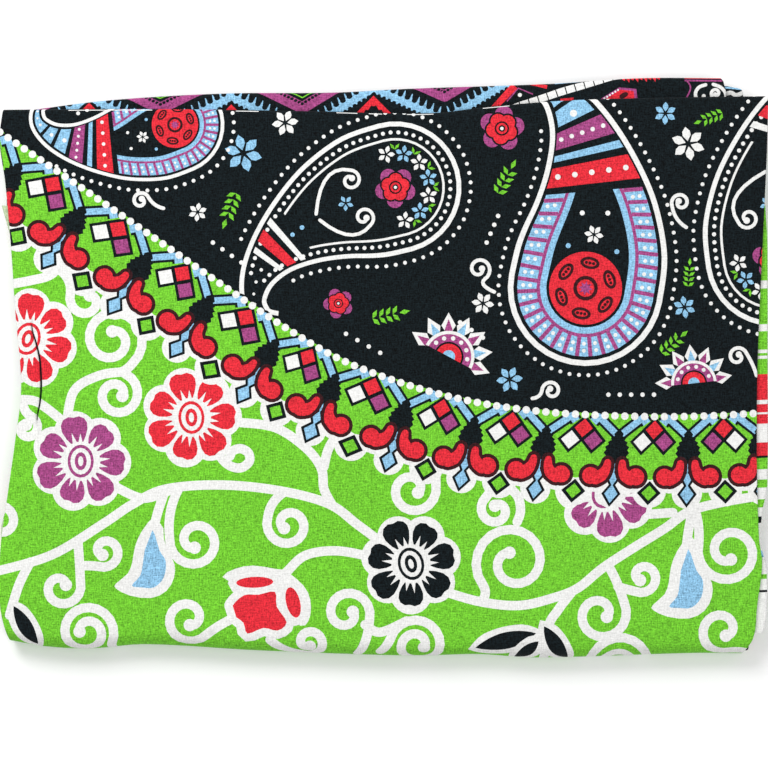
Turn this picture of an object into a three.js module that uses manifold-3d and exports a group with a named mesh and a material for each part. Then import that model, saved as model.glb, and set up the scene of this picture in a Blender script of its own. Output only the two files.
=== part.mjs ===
// A folded sarong: one thin printed cloth, about 1.6 m by 1.17 m, folded in four each way to a flat
// packet of sixteen layers. Millimetres, +Z up. +X runs along the packet's long side and +Y towards
// its far edge. The origin is under the middle of the packet's box, on the surface it lies on.
import * as THREE from 'three';
import { mergeVertices } from 'three/addons/utils/BufferGeometryUtils.js';
import Module from 'manifold-3d';

// ---- Driving dimensions ----
const THICKNESS = 16; // whole packet, loosely pressed
const WALL = 1.2; // one printed layer with the loft that it keeps
const GAP = 0.3; // between neighbouring pieces
const FOLD_RADIUS = 1.6; // outside of a single folded layer
const FOLD_HEIGHT = 2 * FOLD_RADIUS;
const ROLL_RADIUS = THICKNESS / 2; // outside of the thick fold at the near edge
const ROLL_TUCK = 4; // flat run of the rolled panel on the surface
const FRONT_TUCK = 30; // depth of the turned-in layer at the front panel's far edge
const SIDE_DROP = 0.6; // how far the front panel's left and right edges round down
const SIDE_ROUND = 6; // width over which they do
const BACK_DEPTH = 48; // depth of the two folds behind the far edge
const SIDE_DEPTH = 26; // depth of the folds under the left and right edges
const SIDE_TOP = THICKNESS - WALL - SIDE_DROP - GAP; // top of those side folds
const BACK_TOP = THICKNESS - FOLD_HEIGHT - GAP;
const BACK_LOW_TOP = BACK_TOP - FOLD_HEIGHT - GAP;
const INNER_INSET = 2.4; // hidden layers behind the outline of the front panel
const LAYER_PITCH = 2.6; // height of one layer of the hidden stack
const LAYER_BITE = 1.3; // depth of the groove between two layers

// ---- Steps of the meshes ----
const FOLD_STEPS = 5; // round a single folded layer
const ROLL_STEPS = 10; // round the thick fold
const TOP_ROWS = 11; // from the far fold to the roll
const TOP_FROM = 0.985; // shares of the depth where those rows begin and end
const TOP_TO = 0.035;
const EVEN_COLUMNS = 19;
const EDGE_COLUMNS = [0, 0.007, 0.016, 0.03, 0.04, 0.046, 0.052, 0.06, 0.075]; // dense at the pleat
const END_COLUMNS = [0.985, 0.993, 1];
const RING_ACROSS = 22; // points of a ring along the near and far edges
const RING_ALONG = 14; // and along the left and right edges
const STRIP_COLUMNS = 20;
const MERGE_WITHIN = 1e-5;

// The front panel's outline: y along its far and near edges, x along its left and right edges.
const FAR_EDGE = [
  { x: -203, y: 136.0 },
  { x: -123, y: 136.4 },
  { x: -34, y: 135.2 },
  { x: 24, y: 134.2 },
  { x: 55, y: 137.6 },
  { x: 98, y: 141.0 },
  { x: 158, y: 142.6 },
  { x: 203, y: 143.2 },
];
const NEAR_EDGE = [
  { x: -198, y: -143.8 },
  { x: -178, y: -147.2 },
  { x: -155, y: -148.2 },
  { x: -126, y: -146.0 },
  { x: -67, y: -149.2 },
  { x: 14, y: -152.0 },
  { x: 50, y: -151.2 },
  { x: 80, y: -153.0 },
  { x: 165, y: -150.6 },
  { x: 190, y: -150.8 },
];
const LEFT_EDGE = [
  { y: -144, x: -197.8 },
  { y: -125, x: -202.2 },
  { y: -96, x: -202.0 },
  { y: -68, x: -198.3 },
  { y: -38, x: -194.1 },
  { y: -10, x: -191.0 },
  { y: 30, x: -194.1 },
  { y: 62, x: -196.2 },
  { y: 98, x: -199.4 },
  { y: 120, x: -202.4 },
  { y: 136, x: -200.6 },
];
const RIGHT_EDGE = [
  { y: -151, x: 189.4 },
  { y: -141, x: 194.8 },
  { y: -126, x: 196.3 },
  { y: -103, x: 199.1 },
  { y: -90, x: 197.4 },
  { y: -43, x: 196.2 },
  { y: 8, x: 196.8 },
  { y: 67, x: 199.4 },
  { y: 115, x: 201.6 },
  { y: 143, x: 202.4 },
];
// Fold lines of the layers that show beyond the front panel.
const BACK_FOLD = [
  { x: -199, y: 134.4 },
  { x: -154, y: 140.4 },
  { x: -123, y: 143.0 },
  { x: -81, y: 145.0 },
  { x: -28, y: 145.4 },
  { x: 15, y: 147.5 },
  { x: 87, y: 150.0 },
  { x: 135, y: 153.0 },
  { x: 179, y: 153.0 },
];
const BACK_LOW_FOLD = [
  { x: -198, y: 132.4 },
  { x: -81, y: 142.6 },
  { x: 15, y: 144.4 },
  { x: 100, y: 147.8 },
  { x: 179, y: 149.4 },
  { x: 189.6, y: 147.6 },
];
const RIGHT_FOLD = [
  { y: -140, x: 199.6 },
  { y: -131, x: 201.6 },
  { y: -106, x: 201.6 },
  { y: -92, x: 198.6 },
  { y: -76, x: 199.4 },
  { y: -62, x: 202.0 },
  { y: 8, x: 202.2 },
  { y: 67, x: 202.0 },
  { y: 86, x: 201.0 },
];
const LEFT_FOLD = [
  { y: -135, x: -200.4 },
  { y: -96, x: -201.0 },
  { y: -84, x: -201.8 },
  { y: -68, x: -197.4 },
  { y: -38, x: -193.0 },
  { y: -10, x: -189.8 },
  { y: 30, x: -193.0 },
  { y: 62, x: -195.4 },
  { y: 86, x: -201.6 },
];
// Soft swells and the one pressed pleat on the front panel: middle, half length, half width,
// bearing of the length from +X in degrees, and height.
const SWELLS = [
  { x: -182, y: 3, length: 27, width: 2.6, bearing: 92, height: 1.1 },
  { x: -120, y: -60, length: 90, width: 42, bearing: 12, height: 0.5 },
  { x: 40, y: 40, length: 110, width: 50, bearing: -20, height: 0.6 },
  { x: 130, y: -70, length: 80, width: 34, bearing: 35, height: 0.5 },
];
// How far each layer of the hidden stack, lowest first, stands out (+) or back (-) at its edges.
const STACK = [
  { left: -0.4, right: 0.5, far: 0.4 },
  { left: 0.5, right: -0.6, far: -0.8 },
  { left: -0.8, right: 0.2, far: 0.6 },
  { left: 0.3, right: 0.7, far: -0.3 },
  { left: 0.0, right: -0.3, far: 0.0 },
];

// ---- Curves and plan ----
const { clamp, degToRad, lerp } = THREE.MathUtils;

/** Smooth curve through a table's rows: the value in column `to` where column `from` is `at`. */
function follow(table, from, to, at) {
  const last = table.length - 1;
  const seat = clamp(at, table[0][from], table[last][from]);
  const k = clamp(table.findIndex((row) => row[from] >= seat) - 1, 0, last - 1);
  const [a, b] = [table[k], table[k + 1]];
  const before = table[Math.max(k - 1, 0)];
  const after = table[Math.min(k + 2, last)];
  const span = b[from] - a[from];
  const t = (seat - a[from]) / span;
  const slopeA = ((b[to] - before[to]) / (b[from] - before[from])) * span;
  const slopeB = ((after[to] - a[to]) / (after[from] - a[from])) * span;
  const [t2, t3] = [t * t, t * t * t];
  return (2 * t3 - 3 * t2 + 1) * a[to] + (t3 - 2 * t2 + t) * slopeA
    + (3 * t2 - 2 * t3) * b[to] + (t3 - t2) * slopeB;
}

const farEdge = (x) => follow(FAR_EDGE, 'x', 'y', x);
const nearEdge = (x) => follow(NEAR_EDGE, 'x', 'y', x);
const leftEdge = (y) => follow(LEFT_EDGE, 'y', 'x', y);
const rightEdge = (y) => follow(RIGHT_EDGE, 'y', 'x', y);

/** Plan point at shares u, v of the panel, with an inset at each edge. */
function plan(u, v, inset) {
  const chord = (table) => lerp(table[0].y, table[table.length - 1].y, u);
  const roughY = lerp(chord(NEAR_EDGE), chord(FAR_EDGE), v);
  const x = lerp(leftEdge(roughY) + inset.left, rightEdge(roughY) - inset.right, u);
  return new THREE.Vector2(x, lerp(nearEdge(x) + inset.near, farEdge(x) - inset.far, v));
}

/** Height of the swells and the pleat over the flat panel. */
function swellHeight(x, y) {
  let height = 0;
  for (const s of SWELLS) {
    const turn = degToRad(s.bearing);
    const [dx, dy] = [x - s.x, y - s.y];
    const along = (dx * Math.cos(turn) + dy * Math.sin(turn)) / s.length;
    const across = (dy * Math.cos(turn) - dx * Math.sin(turn)) / s.width;
    height += s.height * Math.exp(-(along * along + across * across) * 1.5);
  }
  return height;
}

// ---- Walls ----
/** A row of a fold's section: how far in from the fold line, and how high. */
const station = (inward, height) => ({ inward, height });

/** Stations round a fold from the angle `from` to `to`, in `steps` even steps. */
function arcStations(radius, middleHeight, from, to, steps) {
  const rows = [];
  for (let k = 0; k <= steps; k += 1) {
    const angle = degToRad(lerp(from, to, k / steps));
    rows.push(station(radius * (1 - Math.cos(angle)), middleHeight + radius * Math.sin(angle)));
  }
  return rows;
}

/** Section of a single folded layer: upper wall, round fold, lower wall. */
function foldSection(depth, top) {
  const middle = top - FOLD_RADIUS;
  return [
    station(depth, top),
    station(depth / 2, top),
    ...arcStations(FOLD_RADIUS, middle, 90, -90, FOLD_STEPS),
    station(depth / 3, top - FOLD_HEIGHT),
    station(depth * 0.7, top - FOLD_HEIGHT),
  ];
}

/** Outward normal at a point of a grid of surface points. */
function gridNormal(grid, r, c) {
  const rowEnd = grid.length - 1;
  const colEnd = grid[0].length - 1;
  const down = grid[Math.min(r + 1, rowEnd)][c].clone().sub(grid[Math.max(r - 1, 0)][c]);
  const across = grid[r][Math.min(c + 1, colEnd)].clone().sub(grid[r][Math.max(c - 1, 0)]);
  return down.cross(across).normalize();
}

/** Closed wall, WALL thick, on the inner side of a grid of surface points. */
function wallGeometry(grid) {
  const [rows, cols] = [grid.length, grid[0].length];
  const half = rows * cols;
  const places = new Float32Array(half * 6);
  grid.forEach((row, r) => row.forEach((point, c) => {
    const inner = point.clone().addScaledVector(gridNormal(grid, r, c), -WALL);
    point.toArray(places, (r * cols + c) * 3);
    inner.toArray(places, (half + r * cols + c) * 3);
  }));
  const faces = [];
  for (let r = 0; r < rows - 1; r += 1) {
    for (let c = 0; c < cols - 1; c += 1) {
      const [a, d] = [r * cols + c, (r + 1) * cols + c];
      faces.push(a, d, a + 1, a + 1, d, d + 1);
      faces.push(half + a, half + a + 1, half + d, half + a + 1, half + d + 1, half + d);
    }
  }
  for (const [a, b] of rimEdges(rows, cols)) faces.push(a, b, half + b, a, half + b, half + a);
  const geometry = new THREE.BufferGeometry();
  geometry.setAttribute('position', new THREE.BufferAttribute(places, 3));
  geometry.setIndex(faces);
  return geometry;
}

/** The edges round a grid, in the order that closes its rim outwards. */
function rimEdges(rows, cols) {
  const loop = [];
  for (let c = 0; c < cols - 1; c += 1) loop.push(c);
  for (let r = 0; r < rows - 1; r += 1) loop.push(r * cols + cols - 1);
  for (let c = cols - 1; c > 0; c -= 1) loop.push((rows - 1) * cols + c);
  for (let r = rows - 1; r > 0; r -= 1) loop.push(r * cols);
  return loop.map((a, k) => [a, loop[(k + 1) % loop.length]]);
}

/** Folded layer whose fold line runs along X. */
function alongX(fold, top) {
  const [startX, endX] = [fold[0].x, fold[fold.length - 1].x];
  return wallGeometry(foldSection(BACK_DEPTH, top).map(({ inward, height }) => {
    const row = [];
    for (let c = 0; c <= STRIP_COLUMNS; c += 1) {
      const x = lerp(startX, endX, c / STRIP_COLUMNS);
      row.push(new THREE.Vector3(x, follow(fold, 'x', 'y', x) - inward, height));
    }
    return row.reverse();
  }));
}

/** Folded layer whose fold line runs along Y, its open side towards -X (side = 1) or +X (-1). */
function alongY(fold, top, side) {
  const [startY, endY] = [fold[0].y, fold[fold.length - 1].y];
  return wallGeometry(foldSection(SIDE_DEPTH, top).map(({ inward, height }) => {
    const row = [];
    for (let c = 0; c <= STRIP_COLUMNS; c += 1) {
      const y = lerp(startY, endY, c / STRIP_COLUMNS);
      row.push(new THREE.Vector3(follow(fold, 'y', 'x', y) - side * inward, y, height));
    }
    return side > 0 ? row : row.reverse();
  }));
}

// ---- Pieces ----
/** Sections of the front panel, from its turned-in far edge over the top and down the near roll. */
function frontRows() {
  const foldMiddle = THICKNESS - FOLD_RADIUS;
  const farRows = [
    station(FRONT_TUCK, THICKNESS - FOLD_HEIGHT),
    station(FRONT_TUCK / 2, THICKNESS - FOLD_HEIGHT),
    ...arcStations(FOLD_RADIUS, foldMiddle, -90, 90, FOLD_STEPS),
  ];
  const nearRows = [
    ...arcStations(ROLL_RADIUS, ROLL_RADIUS, 90, -90, ROLL_STEPS),
    station(ROLL_RADIUS + ROLL_TUCK, 0),
  ];
  return { farRows, nearRows };
}

/** Shares across the panel for its columns, closer together at the pressed pleat and the sides. */
function frontColumns() {
  const even = Array.from({ length: EVEN_COLUMNS }, (_, k) => lerp(0.1, 0.97, k / (EVEN_COLUMNS - 1)));
  return [...EDGE_COLUMNS, ...even, ...END_COLUMNS];
}

function frontPanel() {
  const { farRows, nearRows } = frontRows();
  const columns = frontColumns();
  const grid = [];
  const sideDrop = (u, width) => {
    const fromEdge = Math.min(u, 1 - u) * width;
    const share = clamp(1 - fromEdge / SIDE_ROUND, 0, 1);
    return SIDE_DROP * share * share;
  };
  const rowAt = (v, place) => columns.map((u) => {
    const flat = plan(u, v, { left: 0, right: 0, near: 0, far: 0 });
    const width = rightEdge(flat.y) - leftEdge(flat.y);
    return place(flat, sideDrop(u, width));
  });
  for (const { inward, height } of farRows) {
    const reach = height < THICKNESS ? 0 : 1;
    grid.push(rowAt(1, (p, drop) => new THREE.Vector3(p.x, p.y - inward, height - drop * reach)));
  }
  for (let k = 1; k < TOP_ROWS; k += 1) {
    const v = lerp(TOP_FROM, TOP_TO, k / TOP_ROWS);
    const fade = Math.sin(Math.PI * (k / TOP_ROWS));
    grid.push(rowAt(v, (p, drop) => new THREE.Vector3(p.x, p.y,
      THICKNESS - drop + swellHeight(p.x, p.y) * fade)));
  }
  for (const { inward, height } of nearRows) {
    const lean = (height - ROLL_RADIUS) / ROLL_RADIUS;
    const side = Math.sqrt(Math.max(0, 1 - lean * lean));
    const share = (1 + lean) / 2; // the rounded ends fade out towards the surface
    grid.push(rowAt(0, (p, drop) => new THREE.Vector3(p.x,
      p.y + inward + drop * share * side, height - drop * share * lean)));
  }
  return wallGeometry(grid);
}

/** Insets of the hidden stack at height z, in layer `layer` of STACK. */
function stackInset(z, layer) {
  const rollInner = ROLL_RADIUS - WALL - SIDE_DROP - GAP;
  const rise = clamp((z - ROLL_RADIUS) / rollInner, -1, 1);
  const share = ((z - WALL - GAP) / LAYER_PITCH) % 1;
  const groove = share < 0.2 || share > 0.8 ? LAYER_BITE : 0;
  const out = STACK[layer];
  return {
    near: ROLL_RADIUS + 2 * GAP - rollInner * Math.sqrt(1 - rise * rise),
    left: INNER_INSET + groove - out.left,
    right: INNER_INSET + groove - out.right,
    far: INNER_INSET + groove - out.far,
  };
}

/** Points round the packet at shares of its four edges. */
function ring(z, layer, inset = stackInset(z, layer)) {
  const shares = [];
  for (let k = 0; k < RING_ACROSS; k += 1) shares.push([k / RING_ACROSS, 0]);
  for (let k = 0; k < RING_ALONG; k += 1) shares.push([1, k / RING_ALONG]);
  for (let k = 0; k < RING_ACROSS; k += 1) shares.push([1 - k / RING_ACROSS, 1]);
  for (let k = 0; k < RING_ALONG; k += 1) shares.push([0, 1 - k / RING_ALONG]);
  return shares.map(([u, v]) => {
    const p = plan(u, v, inset);
    return new THREE.Vector3(p.x, p.y, z);
  });
}

/** Closed body through rings of equal count, lowest first, with flat ends. */
function stackGeometry(rings) {
  const count = rings[0].length;
  const faces = [];
  for (let r = 0; r < rings.length - 1; r += 1) {
    for (let k = 0; k < count; k += 1) {
      const [a, b] = [r * count + k, r * count + ((k + 1) % count)];
      faces.push(a, b, b + count, a, b + count, a + count);
    }
  }
  const capOf = (points) => THREE.ShapeUtils.triangulateShape(
    points.map((p) => new THREE.Vector2(p.x, p.y)), []);
  for (const [a, b, c] of capOf(rings[0])) faces.push(a, c, b);
  const topStart = (rings.length - 1) * count;
  for (const [a, b, c] of capOf(rings[rings.length - 1])) {
    faces.push(topStart + a, topStart + b, topStart + c);
  }
  const geometry = new THREE.BufferGeometry().setFromPoints(rings.flat());
  geometry.setIndex(faces);
  return geometry;
}

/** The stack before its ledges are cut: rounded at the near edge, grooved at the others. */
function wholeStack() {
  const rings = [];
  const [bottom, top] = [WALL + GAP, THICKNESS - WALL - GAP];
  STACK.forEach((_, layer) => {
    for (const share of [0.0, 0.22, 0.5, 0.78, 0.98]) {
      const z = Math.min(bottom + (layer + share) * LAYER_PITCH, top);
      if (layer === 0 || share > 0) rings.push(ring(z, layer));
    }
  });
  return stackGeometry(rings);
}

/** Box cutter that reaches far past the packet on the sides given as infinite. */
function cutter(min, max) {
  const reach = 400;
  const [lo, hi] = [min, max].map((v) => v.map((n) => clamp(n, -reach, reach)));
  const box = new THREE.BoxGeometry(hi[0] - lo[0], hi[1] - lo[1], hi[2] - lo[2]);
  return box.translate((lo[0] + hi[0]) / 2, (lo[1] + hi[1]) / 2, (lo[2] + hi[2]) / 2);
}

const wasm = await Module();
wasm.setup();

/** Solid of a closed three.js geometry. */
function solidOf(geometry) {
  geometry.deleteAttribute('normal');
  geometry.deleteAttribute('uv');
  const merged = mergeVertices(geometry, MERGE_WITHIN);
  return new wasm.Manifold(new wasm.Mesh({
    numProp: 3,
    vertProperties: new Float32Array(merged.attributes.position.array),
    triVerts: new Uint32Array(merged.index.array),
  }));
}

/** The hidden layers, with ledges for the folds that lie on them at the far, left and right edges. */
function hiddenLayers() {
  const farLedge = BACK_LOW_TOP - FOLD_HEIGHT - GAP;
  const sideLedge = SIDE_TOP - FOLD_HEIGHT - GAP;
  const room = 3 * GAP;
  const farLine = BACK_LOW_FOLD[0].y - BACK_DEPTH - room;
  const leftLine = Math.max(...LEFT_FOLD.map((row) => row.x)) + SIDE_DEPTH + room;
  const rightLine = Math.min(...RIGHT_FOLD.map((row) => row.x)) - SIDE_DEPTH - room;
  const far = Infinity;
  const cut = solidOf(wholeStack())
    .subtract(solidOf(cutter([-far, farLine, farLedge], [far, far, far])))
    .subtract(solidOf(cutter([-far, -far, sideLedge], [leftLine, far, far])))
    .subtract(solidOf(cutter([rightLine, -far, sideLedge], [far, far, far])));
  const mesh = cut.getMesh();
  const geometry = new THREE.BufferGeometry();
  geometry.setAttribute('position', new THREE.BufferAttribute(mesh.vertProperties, 3));
  geometry.setIndex(new THREE.BufferAttribute(mesh.triVerts, 1));
  return geometry;
}

/** The flat stretch on the surface, from the end of the near roll to the far edge. */
function undersidePanel() {
  const near = ROLL_RADIUS + ROLL_TUCK + 2 * GAP;
  const inset = { near, left: INNER_INSET, right: INNER_INSET, far: INNER_INSET };
  return stackGeometry([ring(0, 0, inset), ring(WALL, 0, inset)]);
}

// ---- Assembly ----
const CLOTH = { roughness: 0.85, metalness: 0 };
const PIECES = [
  { name: 'front_panel', colour: '#6bc832', geometry: frontPanel() },
  { name: 'back_layer', colour: '#a33d92', geometry: alongX(BACK_FOLD, BACK_TOP) },
  { name: 'back_layer_low', colour: '#82b9e8', geometry: alongX(BACK_LOW_FOLD, BACK_LOW_TOP) },
  { name: 'right_layer', colour: '#6bc832', geometry: alongY(RIGHT_FOLD, SIDE_TOP, 1) },
  { name: 'left_layer', colour: '#6b5f59', geometry: alongY(LEFT_FOLD, SIDE_TOP, -1) },
  { name: 'hidden_layers', colour: '#e6e3e2', geometry: hiddenLayers() },
  { name: 'underside_panel', colour: '#212327', geometry: undersidePanel() },
];

const sarong = new THREE.Group();
for (const { name, colour, geometry } of PIECES) {
  const mesh = new THREE.Mesh(geometry, new THREE.MeshStandardMaterial({ color: colour, ...CLOTH }));
  mesh.name = name;
  sarong.add(mesh);
}
const box = new THREE.Box3().setFromObject(sarong);
const middle = box.getCenter(new THREE.Vector3());
for (const mesh of sarong.children) mesh.geometry.translate(-middle.x, -middle.y, -box.min.z);

export default sarong;
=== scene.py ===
"""A folded printed sarong: sixteen layers of thin rayon in a flat packet, dressed in Blender.

Lengths inside the classes are millimetres in the packet's own frame: +X along the long side, +Y
towards the far edge, +Z up. Meshes are scaled to metres when they are made.
"""

import logging
import math
import random
from dataclasses import dataclass, field
from enum import Enum
from typing import Callable, NamedTuple

import bpy
import numpy as np
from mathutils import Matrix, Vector
from mathutils.geometry import delaunay_2d_cdt


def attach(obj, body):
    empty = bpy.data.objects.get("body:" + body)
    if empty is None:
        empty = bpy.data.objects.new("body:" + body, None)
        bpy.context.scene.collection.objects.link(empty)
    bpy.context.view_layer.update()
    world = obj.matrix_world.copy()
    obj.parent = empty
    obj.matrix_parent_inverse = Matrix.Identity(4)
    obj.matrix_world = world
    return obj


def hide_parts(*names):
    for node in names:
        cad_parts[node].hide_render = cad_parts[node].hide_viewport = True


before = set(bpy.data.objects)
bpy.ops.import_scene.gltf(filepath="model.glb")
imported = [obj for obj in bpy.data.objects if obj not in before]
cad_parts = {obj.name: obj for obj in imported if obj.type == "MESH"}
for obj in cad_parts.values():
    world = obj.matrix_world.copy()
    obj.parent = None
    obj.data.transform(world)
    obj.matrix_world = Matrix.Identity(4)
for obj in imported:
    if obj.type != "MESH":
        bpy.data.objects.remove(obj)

logging.basicConfig(level=logging.INFO, format="%(message)s")
LOG = logging.getLogger("sarong")

MM = 0.001
CLOTH = 0.4  # one printed layer's wall
THICKNESS = 16.0  # the flat packet, before its creases
ROLL = 8.0  # outside of the thick fold at the near edge
SEED = 7

Point = tuple[float, float]


class Ink(Enum):
    """The printed colours of the cloth; the value is the material's place in every mesh."""

    LIME = 0
    BLACK = 1
    WHITE = 2
    BLUE = 3
    RED = 4
    PURPLE = 5
    MAROON = 6
    REVERSE = 7


# ---------------------------------------------------------------------------------------------
# Finishes
# ---------------------------------------------------------------------------------------------


@dataclass(frozen=True)
class Weave:
    """The plain-woven rayon under every colour: thread pitch, slubs and soft sheen."""

    thread: float = 0.55  # millimetres across a slub
    slub_length: float = 3.8
    slub_depth: float = 0.62  # how far slubs lighten or darken the colour
    bump: float = 0.5
    roughness: float = 0.88
    sheen: float = 0.05
    gloss: float = 0.10
    darkest: float = 0.12  # the least share of its colour that a thread shows

    def coordinates(self, nodes: bpy.types.Nodes, links: bpy.types.NodeLinks) -> bpy.types.NodeSocket:
        """The cloth's own plane in millimetres, as a vector socket.

        Args:
            nodes: The material's nodes.
            links: The material's links.

        Returns:
            The vector socket.
        """
        uv = nodes.new("ShaderNodeUVMap")
        uv.uv_map = "cloth"
        scale = nodes.new("ShaderNodeVectorMath")
        scale.operation = "SCALE"
        scale.inputs["Scale"].default_value = 1000.0
        links.new(uv.outputs["UV"], scale.inputs[0])
        return scale.outputs[0]

    def noise(
        self,
        nodes: bpy.types.Nodes,
        links: bpy.types.NodeLinks,
        place: bpy.types.NodeSocket,
        across: Point,
        detail: float = 2.0,
    ) -> bpy.types.NodeSocket:
        """Noise whose grains are `across` millimetres wide and high.

        Args:
            nodes: The material's nodes.
            links: The material's links.
            place: The cloth's plane in millimetres.
            across: Grain size along and across the cloth.
            detail: Octaves.

        Returns:
            The noise's value socket.
        """
        mapping = nodes.new("ShaderNodeMapping")
        mapping.inputs["Scale"].default_value = (1 / across[0], 1 / across[1], 1.0)
        links.new(place, mapping.inputs["Vector"])
        texture = nodes.new("ShaderNodeTexNoise")
        texture.inputs["Scale"].default_value = 1.0
        texture.inputs["Detail"].default_value = detail
        links.new(mapping.outputs["Vector"], texture.inputs["Vector"])
        return texture.outputs["Fac"]


@dataclass(frozen=True)
class Dye:
    """One ink on the weave."""

    ink: Ink
    colour: tuple[float, float, float]
    variation: float = 1.0  # how strongly the threads show in it

    def blend(
        self,
        nodes: bpy.types.Nodes,
        links: bpy.types.NodeLinks,
        parts: list[tuple[bpy.types.NodeSocket, float]],
        offset: float,
    ) -> bpy.types.NodeSocket:
        """Weighted sum of noise values.

        Args:
            nodes: The material's nodes.
            links: The material's links.
            parts: Sockets with their weights.
            offset: What the sum starts from.

        Returns:
            The sum's socket.
        """
        total: bpy.types.NodeSocket | None = None
        for socket, weight in parts:
            step = nodes.new("ShaderNodeMath")
            step.operation = "MULTIPLY_ADD"
            links.new(socket, step.inputs[0])
            step.inputs[1].default_value = weight
            if total is None:
                step.inputs[2].default_value = offset
            else:
                links.new(total, step.inputs[2])
            total = step.outputs[0]
        return total

    def material(self, weave: Weave) -> bpy.types.Material:
        """The ink's procedural material.

        Args:
            weave: The cloth that it is printed on.

        Returns:
            A new material.
        """
        made = bpy.data.materials.new(f"rayon_{self.ink.name.lower()}")
        made.use_nodes = True
        nodes, links = made.node_tree.nodes, made.node_tree.links
        shader = nodes["Principled BSDF"]
        place = weave.coordinates(nodes, links)
        warp = weave.noise(nodes, links, place, (weave.thread, weave.slub_length))
        weft = weave.noise(nodes, links, place, (weave.slub_length, weave.thread))
        grain = weave.noise(nodes, links, place, (weave.thread * 1.6, weave.thread * 1.6))
        cloud = weave.noise(nodes, links, place, (38.0, 30.0), 3.0)
        depth = weave.slub_depth * self.variation
        parts = [(warp, depth * 2.0), (weft, depth * 2.0), (grain, depth * 2.6), (cloud, 0.16)]
        offset = 1.0 - sum(weight for _, weight in parts) / 2
        value = nodes.new("ShaderNodeMath")
        value.operation = "MAXIMUM"
        links.new(self.blend(nodes, links, parts, offset), value.inputs[0])
        value.inputs[1].default_value = weave.darkest
        tint = nodes.new("ShaderNodeVectorMath")
        tint.operation = "SCALE"
        tint.inputs[0].default_value = self.colour
        links.new(value.outputs[0], tint.inputs["Scale"])
        links.new(tint.outputs[0], shader.inputs["Base Color"])
        rough = self.blend(nodes, links, [(grain, 0.14), (cloud, 0.08)], weave.roughness - 0.11)
        links.new(rough, shader.inputs["Roughness"])
        shader.inputs["Sheen Weight"].default_value = weave.sheen
        shader.inputs["Sheen Roughness"].default_value = 0.5
        shader.inputs["Specular IOR Level"].default_value = weave.gloss
        bump = nodes.new("ShaderNodeBump")
        bump.inputs["Strength"].default_value = weave.bump
        bump.inputs["Distance"].default_value = 0.12 * MM
        height = self.blend(nodes, links, [(warp, 0.5), (weft, 0.5), (grain, 0.6)], 0.0)
        links.new(height, bump.inputs["Height"])
        links.new(bump.outputs["Normal"], shader.inputs["Normal"])
        return made


DYES = (
    Dye(Ink.LIME, (0.143, 0.478, 0.028)),
    Dye(Ink.BLACK, (0.0036, 0.0068, 0.0084), 2.4),
    Dye(Ink.WHITE, (0.705, 0.705, 0.690), 0.35),
    Dye(Ink.BLUE, (0.222, 0.440, 0.630), 0.9),
    Dye(Ink.RED, (0.615, 0.023, 0.036), 1.0),
    Dye(Ink.PURPLE, (0.295, 0.054, 0.182), 1.1),
    Dye(Ink.MAROON, (0.034, 0.008, 0.010), 1.3),
    Dye(Ink.REVERSE, (0.420, 0.520, 0.330), 0.6),
)


class Wardrobe:
    """Keeps the materials so that each ink is made once."""

    def __init__(self) -> None:
        """Makes a material for each dye, in the order of the inks."""
        weave = Weave()
        self.materials = [dye.material(weave) for dye in DYES]

    def dress(self, piece: bpy.types.Object) -> None:
        """Gives a piece all the inks, so that a face's material is its ink's value."""
        for material in self.materials:
            piece.data.materials.append(material)


# ---------------------------------------------------------------------------------------------
# Curves
# ---------------------------------------------------------------------------------------------


@dataclass(frozen=True)
class EdgeCurve:
    """Smooth curve through a short table of (along, across) places."""

    rows: tuple[Point, ...]

    def at(self, along: np.ndarray) -> np.ndarray:
        """The place across at each place along, held level past the ends.

        Args:
            along: Places along the curve.

        Returns:
            The place across for each.
        """
        keys = np.array([row[0] for row in self.rows])
        values = np.array([row[1] for row in self.rows])
        last = len(keys) - 1
        seat = np.clip(along, keys[0], keys[-1])
        k = np.clip(np.searchsorted(keys, seat) - 1, 0, last - 1)
        before, after = np.maximum(k - 1, 0), np.minimum(k + 2, last)
        span = keys[k + 1] - keys[k]
        t = (seat - keys[k]) / span
        slope_a = (values[k + 1] - values[before]) / (keys[k + 1] - keys[before]) * span
        slope_b = (values[after] - values[k]) / (keys[after] - keys[k]) * span
        return (
            (2 * t**3 - 3 * t**2 + 1) * values[k]
            + (t**3 - 2 * t**2 + t) * slope_a
            + (3 * t**2 - 2 * t**3) * values[k + 1]
            + (t**3 - t**2) * slope_b
        )

    def moved(self, across: float) -> "EdgeCurve":
        """The same curve, moved across by some millimetres."""
        return EdgeCurve(tuple((a, b + across) for a, b in self.rows))


def smooth_path(points: list[Point], per_span: int) -> np.ndarray:
    """Catmull-Rom curve through points in the plane.

    Args:
        points: The places that it passes.
        per_span: Steps between two of them.

    Returns:
        An array of points.
    """
    control = np.array([points[0], *points, points[-1]], float)
    made = []
    for k in range(1, len(control) - 2):
        p0, p1, p2, p3 = control[k - 1 : k + 3]
        for step in range(per_span):
            t = step / per_span
            made.append(
                0.5
                * (
                    2 * p1
                    + (p2 - p0) * t
                    + (2 * p0 - 5 * p1 + 4 * p2 - p3) * t**2
                    + (3 * p1 - p0 - 3 * p2 + p3) * t**3
                )
            )
    made.append(control[-1])
    return np.array(made)


def normals_of(path: np.ndarray) -> np.ndarray:
    """Unit normals to the left of a path's way.

    Args:
        path: Points in order.

    Returns:
        A unit vector for each point.
    """
    way = np.gradient(path, axis=0)
    way /= np.maximum(np.linalg.norm(way, axis=1, keepdims=True), 1e-9)
    return np.stack([-way[:, 1], way[:, 0]], axis=1)


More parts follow.
